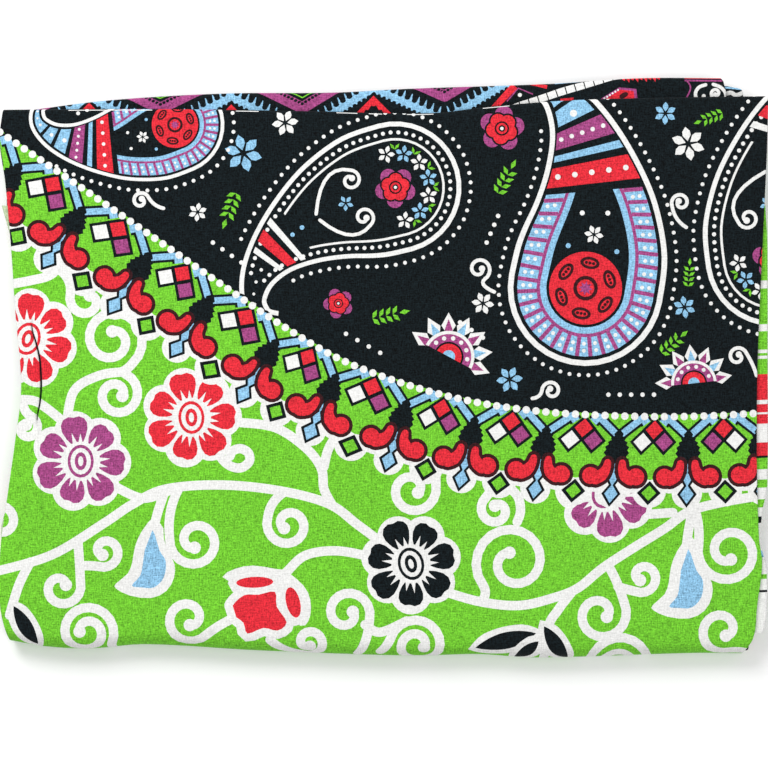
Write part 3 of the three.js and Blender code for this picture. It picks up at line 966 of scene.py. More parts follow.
@dataclass
class PaisleyField:
    """Large white-rimmed paisleys with dotted haloes, and small motifs, on the black field."""

    SPINE: tuple[tuple[float, float, float], ...] = (
        (0.00, 0.00, 0.62), (0.16, 0.00, 0.60), (0.33, 0.02, 0.50), (0.50, 0.07, 0.365), (0.64, 0.14, 0.25),
        (0.74, 0.23, 0.17), (0.785, 0.33, 0.12), (0.76, 0.41, 0.09), (0.70, 0.44, 0.07),
    )  # along, aside, width: shares of the height  # fmt: skip
    COLLAR: tuple[tuple[int, int, Ink], ...] = (
        (14, 15, Ink.BLACK), (15, 18, Ink.RED), (18, 19, Ink.BLACK), (19, 20, Ink.BLUE), (20, 21, Ink.BLACK),
        (21, 24, Ink.PURPLE), (24, 25, Ink.BLACK), (28, 29, Ink.BLACK), (32, 33, Ink.BLACK),
    )  # first and last step of the spine  # fmt: skip
    neck: int = 14  # step of the spine where the belly's rings stop
    rim: float = 2.6  # white, for a paisley of the usual height
    usual: float = 118.0
    BOTEHS: tuple[Boteh, ...] = (
        Boteh(106, 42, 132, 80, 1),
        Boteh(6, 95, 112, 196, 1, True),
        Boteh(205, 58, 116, 98, -1, True),
        Boteh(-110, 128, 84, 202, -1),
    )
    FANS: tuple[tuple[float, float, float, float], ...] = (
        (34, 6, 17, 62), (163, -8, 15, 96),
    )  # x, y, radius, bearing
    ROSES: tuple[tuple[float, float, float, float], ...] = (
        (62, 126, 12, 10), (-24, 34, 8, 40),
    )  # x, y, radius, turn  # fmt: skip
    ROSETTES: tuple[tuple[Ink, float, float, float, int], ...] = (
        (Ink.BLUE, -74, 113, 10, 6), (Ink.WHITE, -52, 129, 7, 6), (Ink.WHITE, 52, 34, 6, 6),
        (Ink.BLUE, 66, -6, 7, 6), (Ink.WHITE, 160, 118, 9, 6), (Ink.BLUE, 158, 32, 6, 6),
        (Ink.BLUE, 148, 134, 6, 6), (Ink.WHITE, -98, 82, 5, 6),
    )  # ink, x, y, radius, petals  # fmt: skip
    FERNS: tuple[tuple[float, float, float, float], ...] = (
        (-78, 92, 20, 250), (60, 92, 20, 62), (160, 43, 15, 86), (-6, 26, 20, 12), (146, 8, 18, 40),
        (178, 134, 16, 200),
    )  # x, y, length, bearing  # fmt: skip
    CURLS: tuple[Scroll, ...] = (
        Scroll(50, 52, 6, -60, 1, 430, 58, 40),
        Scroll(156, 87, 4.8, 200, -1, 420, 159, 74),
        Scroll(88, -12, 5.0, 180, -1, 420, 78, -16),
        Scroll(186, 6, 5.0, 20, 1, 400, 196, -4),
        Scroll(-128, 88, 4.5, 20, 1, 400, -116, 84),
    )
    DOT_ROWS: tuple[tuple[float, float, float, float, int], ...] = (
        (-90, 66, -70, 52, 5), (118, -14, 142, -14, 5), (54, 66, 60, 80, 4), (-20, 18, -2, 8, 4),
        (40, 24, 52, 16, 3),
    )  # x and y of both ends, dots  # fmt: skip

    def contour(self, row: Boteh, stop: int = 0) -> tuple[np.ndarray, np.ndarray, np.ndarray]:
        """A paisley's outline as points of its spine, ways outward and half widths.

        Args:
            row: The paisley.
            stop: The last step of the spine, or 0 for the whole of it.

        Returns:
            Three arrays, from the tip round the belly and back.
        """
        rows = smooth_path(list(self.SPINE), 6)
        spine, half = rows[:, :2], rows[:, 2] / 2 * row.height
        spine[:, 1] *= row.hand
        spine = placed(spine, (row.x, row.y), row.bearing, row.height)
        left = normals_of(spine)
        if stop:
            spine, half, left = spine[: stop + 1], half[: stop + 1], left[: stop + 1]
        turn = np.linspace(0, math.pi, 19)[1:-1]
        ahead = np.array([left[0][1], -left[0][0]])
        cap = np.cos(turn)[:, None] * left[0] - np.sin(turn)[:, None] * ahead
        base = np.concatenate([spine[::-1], np.repeat(spine[:1], len(cap), axis=0), spine])
        way = np.concatenate([left[::-1], cap, -left])
        return base, way, np.concatenate([half[::-1], np.full(len(cap), half[0]), half])

    def line(self, row: Boteh, inset: float, stop: int = 0) -> np.ndarray:
        """A paisley's outline drawn in by some millimetres.

        Args:
            row: Its row in the table.
            inset: Millimetres drawn in, or out if less than 0.
            stop: The last step of the spine, or 0 for the whole of it.

        Returns:
            The ring of points.
        """
        base, way, half = self.contour(row, stop)
        room = half - inset
        keep = room > 0.25
        return base[keep] + way[keep] * room[keep][:, None]

    def room(self, spot: np.ndarray, skip: int) -> float:
        """Distance from a place to the nearest paisley's outline, all but one.

        Args:
            spot: The place.
            skip: The number of the paisley left out.

        Returns:
            Millimetres, less than 0 inside one.
        """
        rows = [row for k, row in enumerate(self.BOTEHS) if k != skip]
        parts = [(self.contour(row)[0], self.contour(row)[2]) for row in rows]
        return min(float((np.linalg.norm(base - spot, axis=1) - half).min()) for base, half in parts)

    def boteh(self, art: Print, row: Boteh) -> None:
        """Prints one paisley with its white rim, its filling and its collar.

        Args:
            art: The print to add to.
            row: Its row in the table.
        """
        scale = row.height / self.usual
        art.polygon(Ink.WHITE, self.line(row, 0.0))
        art.polygon(Ink.BLACK, self.line(row, self.rim * scale))
        if row.garden:
            self.garden(art, row, scale)
        else:
            self.banded(art, row, scale)

    def banded(self, art: Print, row: Boteh, scale: float) -> None:
        """Fills a paisley with a ticked and dotted band, a red medallion and a striped neck.

        Args:
            art: The print to add to.
            row: Its row in the table.
            scale: Its size as a share of the usual.
        """
        gap, band = 4.4 * scale, 13.5 * scale
        art.polygon(Ink.BLUE, self.line(row, gap))
        outer, inner = self.line(row, gap, self.neck), self.line(row, band, self.neck)
        for seat in even_seats(outer, 6.4 * scale, 3.0 * scale):
            here, ahead = np.array([seat]), np.array([seat + 0.5])
            edge = np.concatenate([between(outer, here), between(inner, here)])
            art.ribbon(Ink.PURPLE, edge, 1.9 * scale, round_ends=False)
            way = between(outer, ahead) - between(outer, here)
            step = way / max(float(np.linalg.norm(way)), 1e-6) * 3.2 * scale
            for share in (0.3, 0.66):
                spot = edge[0] * (1 - share) + edge[1] * share + step[0] * (1.0 - 0.3 * share)
                art.disc(Ink.WHITE, tuple(spot), 0.95 * scale)
        for inset, ink in ((13.5, Ink.PURPLE), (15.1, Ink.BLUE), (18.1, Ink.BLACK)):
            art.polygon(ink, self.line(row, inset * scale, self.neck))
        self.medallion(art, (row.x, row.y), (0.31 * self.usual - 19.4) * scale, row.bearing)
        spine = self.contour(row)[0][-49:]
        self.rosette(art, Ink.WHITE, *spine[8], 4.6 * scale, 6)
        for k in (6, 11):
            for hand in (-1, 1):
                spot = spine[k] + normals_of(spine)[k] * hand * (11.5 if k == 6 else 6.0) * scale
                art.disc(Ink.BLUE if k == 6 else Ink.WHITE, tuple(spot), 1.2 * scale)
        self.collar(art, row, scale)

    @staticmethod
    def across(spine: np.ndarray, arms: np.ndarray, first: int, last: int) -> np.ndarray:
        """Outline of a band across a spine, between two of its steps.

        Args:
            spine: The spine's points.
            arms: From each of them to the band's end.
            first: The step where the band starts.
            last: The step where it stops.

        Returns:
            A ring of points.
        """
        steps = slice(first, last + 1)
        return np.concatenate([spine[steps] + arms[steps], (spine[steps] - arms[steps])[::-1]])

    def collar(self, art: Print, row: Boteh, scale: float) -> None:
        """Prints the bands across a paisley's neck, inside its outline, and dots on them.

        Args:
            art: The print to add to.
            row: Its row in the table.
            scale: Its size as a share of the usual.
        """
        base, way, half = self.contour(row)
        spine, out = base[-49:], way[-49:]
        reach = np.maximum(half[-49:] - (self.rim + 0.9) * scale, 0.2)[:, None]
        for first, last, ink in self.COLLAR:
            art.polygon(ink, self.across(spine, out * reach, first, last))
        for first, last, size in ((16, 17, 1.35), (22, 23, 1.1)):
            middle = (spine[first] + spine[last]) / 2
            for share in np.linspace(-0.78, 0.78, 5):
                art.disc(Ink.WHITE, tuple(middle + out[first] * reach[first] * share), size * scale)
        for k in (26, 30, 35, 38, 41):
            art.disc(Ink.WHITE, tuple(spine[k]), max(1.7 * scale * (1 - (k - 26) / 24), 0.6))

    def garden(self, art: Print, row: Boteh, scale: float) -> None:
        """Fills a paisley with a rose, small flowers, curls, leaves and a line of dots.

        Args:
            art: The print to add to.
            row: Its row in the table.
            scale: Its size as a share of the usual.
        """
        dots = self.line(row, 6.0 * scale, 30)
        for spot in between(dots, even_seats(dots, 4.3 * scale)):
            art.disc(Ink.WHITE, tuple(spot), 1.15 * scale)
        for inset, ink in ((9.2, Ink.WHITE), (10.5, Ink.BLACK)):
            art.polygon(ink, self.line(row, inset * scale, self.neck + 4))
        self.rose(art, row.x, row.y, 11.5 * scale, row.bearing)
        inks = (Ink.WHITE, Ink.BLUE, Ink.WHITE, Ink.BLUE, Ink.WHITE, Ink.BLUE, Ink.WHITE)
        for k, ink in enumerate(inks):
            bearing = row.bearing + 90 + 30 * k
            self.rosette(art, ink, *around((row.x, row.y), 19.0 * scale, bearing), 5.0 * scale, 5)
            if k < len(inks) - 1:
                middle = around((row.x, row.y), 21.0 * scale, bearing + 15)
                self.leaf_pair(art, middle, bearing + 15, 4.2 * scale)
        spine = self.contour(row)[0][-49:]
        side = normals_of(spine)
        thin = VineGround(stroke=1.9 * scale, bulb=1.8 * scale)
        for hand in (-1, 1):
            spot = spine[7] + side[7] * hand * 11.0 * scale
            root = spine[14] + side[14] * hand * 2.0 * scale
            start = math.degrees(math.atan2(*(side[7] * hand)[::-1])) + hand * 20
            thin.scroll(art, Scroll(*spot, 5.6 * scale, start, hand, 400, *root))
        self.rosette(art, Ink.BLUE, *spine[9], 4.4 * scale, 5)
        for first, last, ink in ((20, 21, Ink.WHITE), (22, 24, Ink.RED), (25, 26, Ink.WHITE)):
            reach = np.maximum(self.contour(row)[2][-49:] - 4.0 * scale, 0.3)[:, None]
            art.polygon(ink, self.across(spine, side * reach, first, last))
        for k in (17, 19, 28, 31, 34, 37, 40):
            art.disc(Ink.BLUE if k < 20 else Ink.WHITE, tuple(spine[k]), 1.3 * scale * (1 - (k - 17) / 46))

    def halo(self, art: Print, number: int) -> None:
        """Prints a line of dots outside a paisley, kept clear of the others.

        Args:
            art: The print to add to.
            number: The paisley's number.
        """
        row = self.BOTEHS[number]
        line = self.line(row, -5.0, 26)
        for spot in between(line, even_seats(line, 5.0)):
            if self.room(spot, number) > 4.0:
                art.disc(Ink.WHITE, tuple(spot), 1.05)

    def medallion(self, art: Print, centre: Point, radius: float, turn: float) -> None:
        """Prints the red disc with its dark ornament.

        Args:
            art: The print to add to.
            centre: Its middle.
            radius: About half its width.
            turn: Degrees it is turned by.
        """
        art.disc(Ink.RED, centre, radius)
        for k in range(6):
            spot = around(centre, 0.70 * radius, turn + 60 * k)
            art.disc(Ink.MAROON, spot, radius * 0.27, 0.62, turn + 60 * k + 90)
            art.disc(Ink.RED, spot, radius * 0.18, 0.5, turn + 60 * k + 90)
            for share in (-0.1, 0.0, 0.1):
                across = placed(np.array([(share * radius, 0.0)]), spot, turn + 60 * k + 90)[0]
                art.disc(Ink.MAROON, tuple(across), radius * 0.045)
        art.disc(Ink.MAROON, centre, radius * 0.34)
        art.disc(Ink.RED, centre, radius * 0.24)
        for k in range(8):
            petal = np.array([(0.0, 0.0), (0.09, 0.045), (0.2, 0.0), (0.09, -0.045)]) * radius
            art.polygon(Ink.PURPLE, placed(petal, centre, turn + 45 * k))

    def rose(self, art: Print, x: float, y: float, radius: float, turn: float) -> None:
        """Prints a round rose: purple petals, red petals over them, and a ringed heart.

        Args:
            art: The print to add to.
            x: Middle along X.
            y: Middle along Y.
            radius: About half its width.
            turn: Degrees it is turned by.
        """
        for share, size, ink, lean in ((0.60, 0.40, Ink.PURPLE, 0.0), (0.36, 0.33, Ink.RED, 36.0)):
            for grow, colour in ((0.08, Ink.BLACK), (0.0, ink)):
                for k in range(5):
                    spot = around((x, y), share * radius, turn + lean + 72 * k)
                    art.disc(colour, spot, (size + grow) * radius)
        for size, ink in ((0.32, Ink.BLACK), (0.25, Ink.RED), (0.15, Ink.BLACK), (0.08, Ink.WHITE)):
            art.disc(ink, (x, y), size * radius)

    def leaf_pair(self, art: Print, spot: Point, bearing: float, length: float) -> None:
        """Prints two small green leaves from one place.

        Args:
            art: The print to add to.
            spot: Where both start.
            bearing: Degrees of the line midway between them.
            length: Each leaf's length.
        """
        leaf = np.array([(0.0, 0.0), (0.5, 0.2), (1.0, 0.0), (0.5, -0.2)]) * length
        for lean in (-38, 38):
            art.polygon(Ink.LIME, placed(leaf, spot, bearing + lean))

    def fan(self, art: Print, x: float, y: float, radius: float, bearing: float) -> None:
        """Prints a half lotus: petals round striped half discs.

        Args:
            art: The print to add to.
            x: Middle of its flat side along X.
            y: Middle of its flat side along Y.
            radius: The size that its petals and discs are shares of.
            bearing: Degrees that it points to.
        """
        for k in range(7):
            angle = bearing - 84 + 28 * k
            petal = np.array([(0.55, 0.0), (0.86, 0.2), (1.22, 0.0), (0.86, -0.2)]) * radius
            art.polygon(Ink.WHITE, placed(petal * 1.12, (x, y), angle))
            art.polygon(Ink.BLUE if k % 2 else Ink.PURPLE, placed(petal * (0.96, 0.62), (x, y), angle))
        turn = np.radians(np.linspace(-90, 90, 17))
        half = np.stack([np.cos(turn), np.sin(turn)], axis=1)
        rings = ((0.80, Ink.WHITE), (0.70, Ink.PURPLE), (0.46, Ink.BLACK), (0.40, Ink.RED), (0.2, Ink.BLUE))
        for share, ink in rings:
            art.polygon(ink, placed(half * share * radius, (x, y), bearing))
        for k in range(6):
            art.disc(Ink.WHITE, around((x, y), 0.58 * radius, bearing - 70 + 28 * k), radius * 0.07)

    def rosette(self, art: Print, ink: Ink, x: float, y: float, radius: float, count: int) -> None:
        """Prints slim petals round a centre.

        Args:
            art: The print to add to.
            ink: Its colour.
            x: Middle along X.
            y: Middle along Y.
            radius: About half its width.
            count: How many petals.
        """
        petal = [(0.16, 0.0), (0.5, 0.24), (0.74, 0.22), (1.0, 0.0), (0.74, -0.22), (0.5, -0.24)]
        petal = np.array(petal) * radius
        for k in range(count):
            art.polygon(ink, placed(petal, (x, y), x + 360 / count * k))

    def fern(self, art: Print, x: float, y: float, length: float, bearing: float) -> None:
        """Prints a green sprig of paired leaves.

        Args:
            art: The print to add to.
            x: Its root along X.
            y: Its root along Y.
            length: Its length.
            bearing: Degrees that it points to.
        """
        leaf = np.array([(0.0, 0.0), (0.12, 0.06), (0.26, 0.0), (0.12, -0.06)]) * length
        spots = placed(np.array([(0.18 * k, 0.0) for k in range(5)]), (x, y), bearing, length)
        for spot in spots[:-1]:
            for lean in (-52, 52):
                art.polygon(Ink.LIME, placed(leaf, tuple(spot), bearing + lean))
        art.polygon(Ink.LIME, placed(leaf * 1.1, tuple(spots[-1]), bearing))

    def print_on(self, art: Print) -> None:
        """Prints everything on the black field.

        Args:
            art: The print to add to.
        """
        for x, y, radius, bearing in self.FANS:
            self.fan(art, x, y, radius, bearing)
        for x, y, radius, turn in self.ROSES:
            self.rose(art, x, y, radius, turn)
        for ink, x, y, radius, count in self.ROSETTES:
            self.rosette(art, ink, x, y, radius, count)
        for x, y, length, bearing in self.FERNS:
            self.fern(art, x, y, length, bearing)
        thin = VineGround(stroke=1.9, bulb=1.7)
        for row in self.CURLS:
            thin.scroll(art, row)
        for x0, y0, x1, y1, count in self.DOT_ROWS:
            for share in np.linspace(0, 1, count):
                art.disc(Ink.WHITE, (x0 + (x1 - x0) * share, y0 + (y1 - y0) * share), 1.2)
        for number, row in enumerate(self.BOTEHS):
            self.halo(art, number)
            self.boteh(art, row)


class Zigzag(NamedTuple):
    """One zigzag of the stripe: its ink, its valleys' height from the fold, width and bites."""

    ink: Ink
    valley: float
    width: float
    bites: tuple[tuple[float, float, float], ...] = ()  # off the middle, black disc's radius, pitch
    barb: float = 0.0  # length of the thin barb between two upper bites


@dataclass
class ChevronStripe:
    """The toothed zigzags on the stretch behind the far edge, with a ladder and curls at its right."""

    repeat: float = 75.0
    rise: float = 20.0
    DRIFT: EdgeCurve = EdgeCurve(
        (
            (-195, 2.2), (-155.5, 3.0), (-117, 1.5), (-80, -1.6),
            (-42.6, 0.0), (-5.5, 1.7), (33, 3.4), (60, 4.6),
        )
    )  # how far the stripe climbs past the fold, along X
    CHEVRON_TOPS: EdgeCurve = EdgeCurve(((-155.5, -0.3), (-80.5, -6.0), (-5.5, -2.8), (69.5, -1.0)))
    first_peak: float = -80.5
    end: float = 60.0  # the zigzags stop here, along X
    ZIGZAGS: tuple[Zigzag, ...] = (
        Zigzag(Ink.LIME, -2.6, 0.6), Zigzag(Ink.PURPLE, -8.0, 6.0, ((1.9, 0.95, 2.1),)),
        Zigzag(Ink.BLUE, -20.2, 6.0, ((2.7, 1.7, 4.1), (-3.0, 1.2, 2.9)), 2.6),
        Zigzag(Ink.PURPLE, -38.0, 6.0, ((1.9, 0.95, 2.1),)),
        Zigzag(Ink.BLUE, 9.0, 6.0, ((2.7, 1.7, 4.1), (-3.0, 1.2, 2.9)), 2.6),
        Zigzag(Ink.PURPLE, 21.0, 6.0, ((1.9, 0.95, 2.1),)),
    )  # fmt: skip
    LADDER: tuple[tuple[float, float, float], ...] = (
        (66.5, 138.2, 0.6), (72.0, 139.2, 2.6), (82.3, 141.9, 3.7), (93.6, 145.7, 3.9), (105.0, 149.0, 3.7),
        (114.0, 151.4, 3.0), (123.0, 153.6, 1.6),
    )  # x, y, width  # fmt: skip
    rung_pitch: float = 5.1

    def line(self, x: float, valley: float, shift: float) -> Point:
        """Place of a zigzag's middle line at x.

        Args:
            x: The place along X.
            valley: Height of the zigzag's valleys from the fold.
            shift: Millimetres that the chart is moved up.

        Returns:
            The point in the cloth's plane.
        """
        share = ((x - self.first_peak) / self.repeat + 0.5) % 1.0
        fold = float(BACK_FOLD.at(np.array([x]))[0])
        drift = float(self.DRIFT.at(np.array([x]))[0])
        return (x, fold + valley + shift + drift + self.rise * (1 - abs(2 * share - 1)))

    def print_on(self, art: Print, shift: float) -> None:
        """Prints the stripe.

        Args:
            art: The print to add to.
            shift: Millimetres that the chart is moved up.
        """
        half = self.repeat / 2
        turns = np.arange(self.first_peak - 2 * self.repeat, self.end + half, half)
        for row in self.ZIGZAGS:
            for a, b in zip(turns[:-1], turns[1:]):
                self.arm(art, row, (a + 0.01, b - 0.01), shift)
        for peak in turns[::2]:
            self.small_chevron(art, float(peak), shift)

    def arm(self, art: Print, row: Zigzag, span: Point, shift: float) -> None:
        """Prints one straight arm of a zigzag, with round bites out of its edges.

        Args:
            art: The print to add to.
            row: The zigzag.
            span: Where it starts and ends along X.
            shift: Millimetres that the chart is moved up.
        """
        path = np.array([self.line(x, row.valley, shift) for x in span])
        art.ribbon(row.ink, path, row.width)
        length = float(np.linalg.norm(path[1] - path[0]))
        way = (path[1] - path[0]) / length
        side = np.array([-way[1], way[0]])
        for off, radius, pitch in row.bites:
            for seat in np.arange(pitch / 2, length, pitch):
                art.disc(Ink.BLACK, tuple(path[0] + way * seat + side * off), radius, 0.85, 25.0)
                foot = path[0] + way * (seat + pitch / 2) + side * (off - radius * 0.5)
                if row.barb and off > 0:
                    tip = foot + side * (radius * 0.5 + row.barb) + way * 0.4 * np.sign(way[1])
                    wide, thin = way * 0.75, way * 0.2
                    art.polygon(row.ink, [foot - wide, tip - thin, tip + thin, foot + wide])

    def small_chevron(self, art: Print, peak: float, shift: float) -> None:
        """Prints the red chevron with a jagged dark core inside a blue peak.

        Args:
            art: The print to add to.
            peak: Its middle along X.
            shift: Millimetres that the chart is moved up.
        """
        spot = np.array([peak])
        top = float(BACK_FOLD.at(spot)[0] + self.CHEVRON_TOPS.at(spot)[0]) + shift
        outer = [(peak - 13.0, top - 13.0), (peak, top), (peak + 13.0, top - 13.0)]
        art.polygon(Ink.BLACK, [(x, y + 2.2) for x, y in outer])
        art.polygon(Ink.RED, outer)
        core = [(peak - 8.0, top - 13.0)]
        for k in range(-5, 6):
            core.append((peak + 1.4 * k, top - 4.2 - 1.05 * abs(k) - (0.0 if k % 2 else 1.3)))
        art.polygon(Ink.BLACK, [*core, (peak + 8.0, top - 13.0)])

    def ladder(self, art: Print) -> None:
        """Prints the ladder, the black ground past it, saw teeth, a small banner and the curls.

        Args:
            art: The print to add to.
        """
        rows = np.array(self.LADDER)
        line = smooth_path([(x, y) for x, y, _ in self.LADDER], 5)
        widths = np.interp(line[:, 0], rows[:, 0], rows[:, 2])
        art.polygon(Ink.BLACK, [*map(tuple, line), (230.0, 170.0), (230.0, 90.0), (66.5, 90.0)])
        art.polygon(Ink.BLACK, [(60.0, 137.0), (72.0, 149.0), (84.0, 152.6), (110.0, 151.0), (66.5, 137.6)])
        for spots, width in ((((57.5, 137.0), (68.5, 149.4)), 2.6), (((77.5, 150.4), (86.0, 148.2)), 2.0)):
            art.ribbon(Ink.RED, np.array(spots), width, round_ends=False)
        art.ribbon(Ink.PURPLE, np.array([(64.8, 140.6), (70.8, 147.6), (78.5, 144.4)]), 0.7, round_ends=False)
        art.disc(Ink.WHITE, (71.6, 144.0), 1.1)
        art.ribbon(Ink.BLUE, np.array([(90.0, 151.0), (103.0, 152.4)]), 2.2, round_ends=False)
        art.ribbon(Ink.BLACK, line, widths + 1.4, round_ends=False)
        art.ribbon(Ink.WHITE, line, widths, round_ends=False)
        way = normals_of(line)
        for seat in even_seats(line, self.rung_pitch, self.rung_pitch):
            spot, side = between(line, np.array([seat]))[0], between(way, np.array([seat]))[0]
            reach = float(np.interp(spot[0], rows[:, 0], rows[:, 2])) / 2 + 0.3
            art.ribbon(Ink.BLACK, np.array([spot - side * reach, spot + side * reach]), 0.6, round_ends=False)
        self.teeth(art)
        self.banner(art)
        self.frame_curls(art)

    def teeth(self, art: Print) -> None:
        """Prints the red saw teeth that turn over the fold.

        Args:
            art: The print to add to.
        """
        for k in range(9):
            x = 127.0 + 2.3 * k
            fold = float(BACK_FOLD.at(np.array([x]))[0])
            tip = (x, fold - 1.2 - 1.1 * (k % 2))
            art.polygon(Ink.RED, [(x - 1.6, fold + 6), (x - 1.4, fold - 0.4), tip, (x + 1.5, fold + 6)])
        art.ribbon(Ink.RED, np.array([(93.0, 141.3), (100.0, 142.0)]), 1.3, round_ends=False)

    def banner(self, art: Print) -> None:
        """Prints the small red banner with a purple rim, white dots and a dark lens.

        Args:
            art: The print to add to.
        """
        outer = [(113.5, 141.4), (124.0, 148.0), (133.0, 147.2), (133.8, 141.0), (124.0, 139.0)]
        inner = [(117.0, 142.0), (124.5, 146.8), (131.6, 146.1), (132.2, 141.6), (124.0, 140.0)]
        for ink, ring in ((Ink.PURPLE, outer), (Ink.RED, inner)):
            art.polygon(ink, ring)
        art.disc(Ink.MAROON, (126.4, 143.8), 2.6, 0.55, 28)
        for share in np.linspace(0, 1, 6):
            art.disc(Ink.WHITE, (116.2 + 7.2 * share, 142.2 + 4.4 * share), 0.55)

    def frame_curls(self, art: Print) -> None:
        """Prints the purple and red frame at the stripe's end, with white curls in it.

        Args:
            art: The print to add to.
        """
        lines = ((Ink.PURPLE, 1.5, 0.9), (Ink.RED, -0.2, 0.9), (Ink.PURPLE, -2.2, 0.7))
        xs = np.linspace(158.5, 178.5, 9)
        for ink, down, width in lines:
            art.ribbon(ink, np.stack([xs, BACK_FOLD.at(xs) - down], axis=1), width, round_ends=False)
        stem = [(159.4, 152.0), (161.6, 148.4), (160.6, 144.6), (158.4, 141.0)]
        left_curl = [(169.6, 149.4), (166.0, 148.0), (164.2, 144.6), (165.4, 140.0)]
        right_curl = [(173.6, 149.6), (177.6, 148.0), (180.2, 144.6), (180.0, 140.0)]
        art.ribbon(Ink.PURPLE, smooth_path(stem, 4), 0.8)
        art.ribbon(Ink.WHITE, smooth_path(left_curl, 4), 1.8)
        art.disc(Ink.WHITE, (168.6, 143.4), 1.1)
        art.ribbon(Ink.WHITE, smooth_path(right_curl, 4), 1.8)
        thin = VineGround(stroke=1.7, bulb=1.2)
        thin.scroll(art, Scroll(175.0, 144.8, 2.5, 200, -1, 330, 177.0, 140.5))


class Run(NamedTuple):
    """One band of a narrow strip: its ink and where it ends."""

    ink: Ink
    until: float


@dataclass
class EdgeBands:
    """Bands of colour across a narrow strip that shows at the packet's side."""

    rows: tuple[Run, ...]
    start: float
    slant: float = 2.5

    def print_on(self, art: Print, low: float, high: float) -> None:
        """Prints the bands between two places across the strip.

        Args:
            art: The print to add to.
            low: Where the bands start along X.
            high: Where they end along X.
        """
        at = self.start
        for ink, until in self.rows:
            art.polygon(ink, [(low, at), (high, at + self.slant), (high, until + self.slant), (low, until)])
            at = until


# ---------------------------------------------------------------------------------------------
# Folded stretches of cloth
# ---------------------------------------------------------------------------------------------


@dataclass(frozen=True)
class Fold:
    """How one edge of a stretch turns under: outer radius, flat run past it, and its steps."""

    radius: float = 0.0
    tuck: float = 0.0
    steps: int = 7

    @property
    def reach(self) -> float:
        """Cloth past the start of the fold."""
        return math.pi * self.radius + self.tuck

    def lines(self) -> list[float]:
        """Lengths past the start of the fold at which the mesh has a line, farthest first.

        Returns:
            The lengths.
        """
        if not self.radius:
            return [0.0]
        bend = [math.pi * self.radius * k / self.steps for k in range(self.steps, -1, -1)]
        return ([self.reach, self.reach - self.tuck / 2] if self.tuck else []) + bend

    def turn(self, over: np.ndarray) -> tuple[np.ndarray, np.ndarray, np.ndarray]:
        """Where cloth past the fold's start lies.

        Args:
            over: Length of cloth past the start; not more than 0 on the flat side.

        Returns:
            How far out it reaches past the start, how far it drops, and the angle it has turned.
        """
        past = np.maximum(over, 0.0)
        if not self.radius:
            return past, np.zeros_like(past), np.zeros_like(past)
        angle = np.minimum(past / self.radius, math.pi)
        extra = np.maximum(past - math.pi * self.radius, 0.0)
        return self.radius * np.sin(angle) - extra, self.radius * (1 - np.cos(angle)), angle


class Crease(NamedTuple):
    """A soft trough (-) or ridge (+): middle, half length, half width, bearing and height."""

    x: float
    y: float
    length: float
    width: float
    bearing: float
    height: float


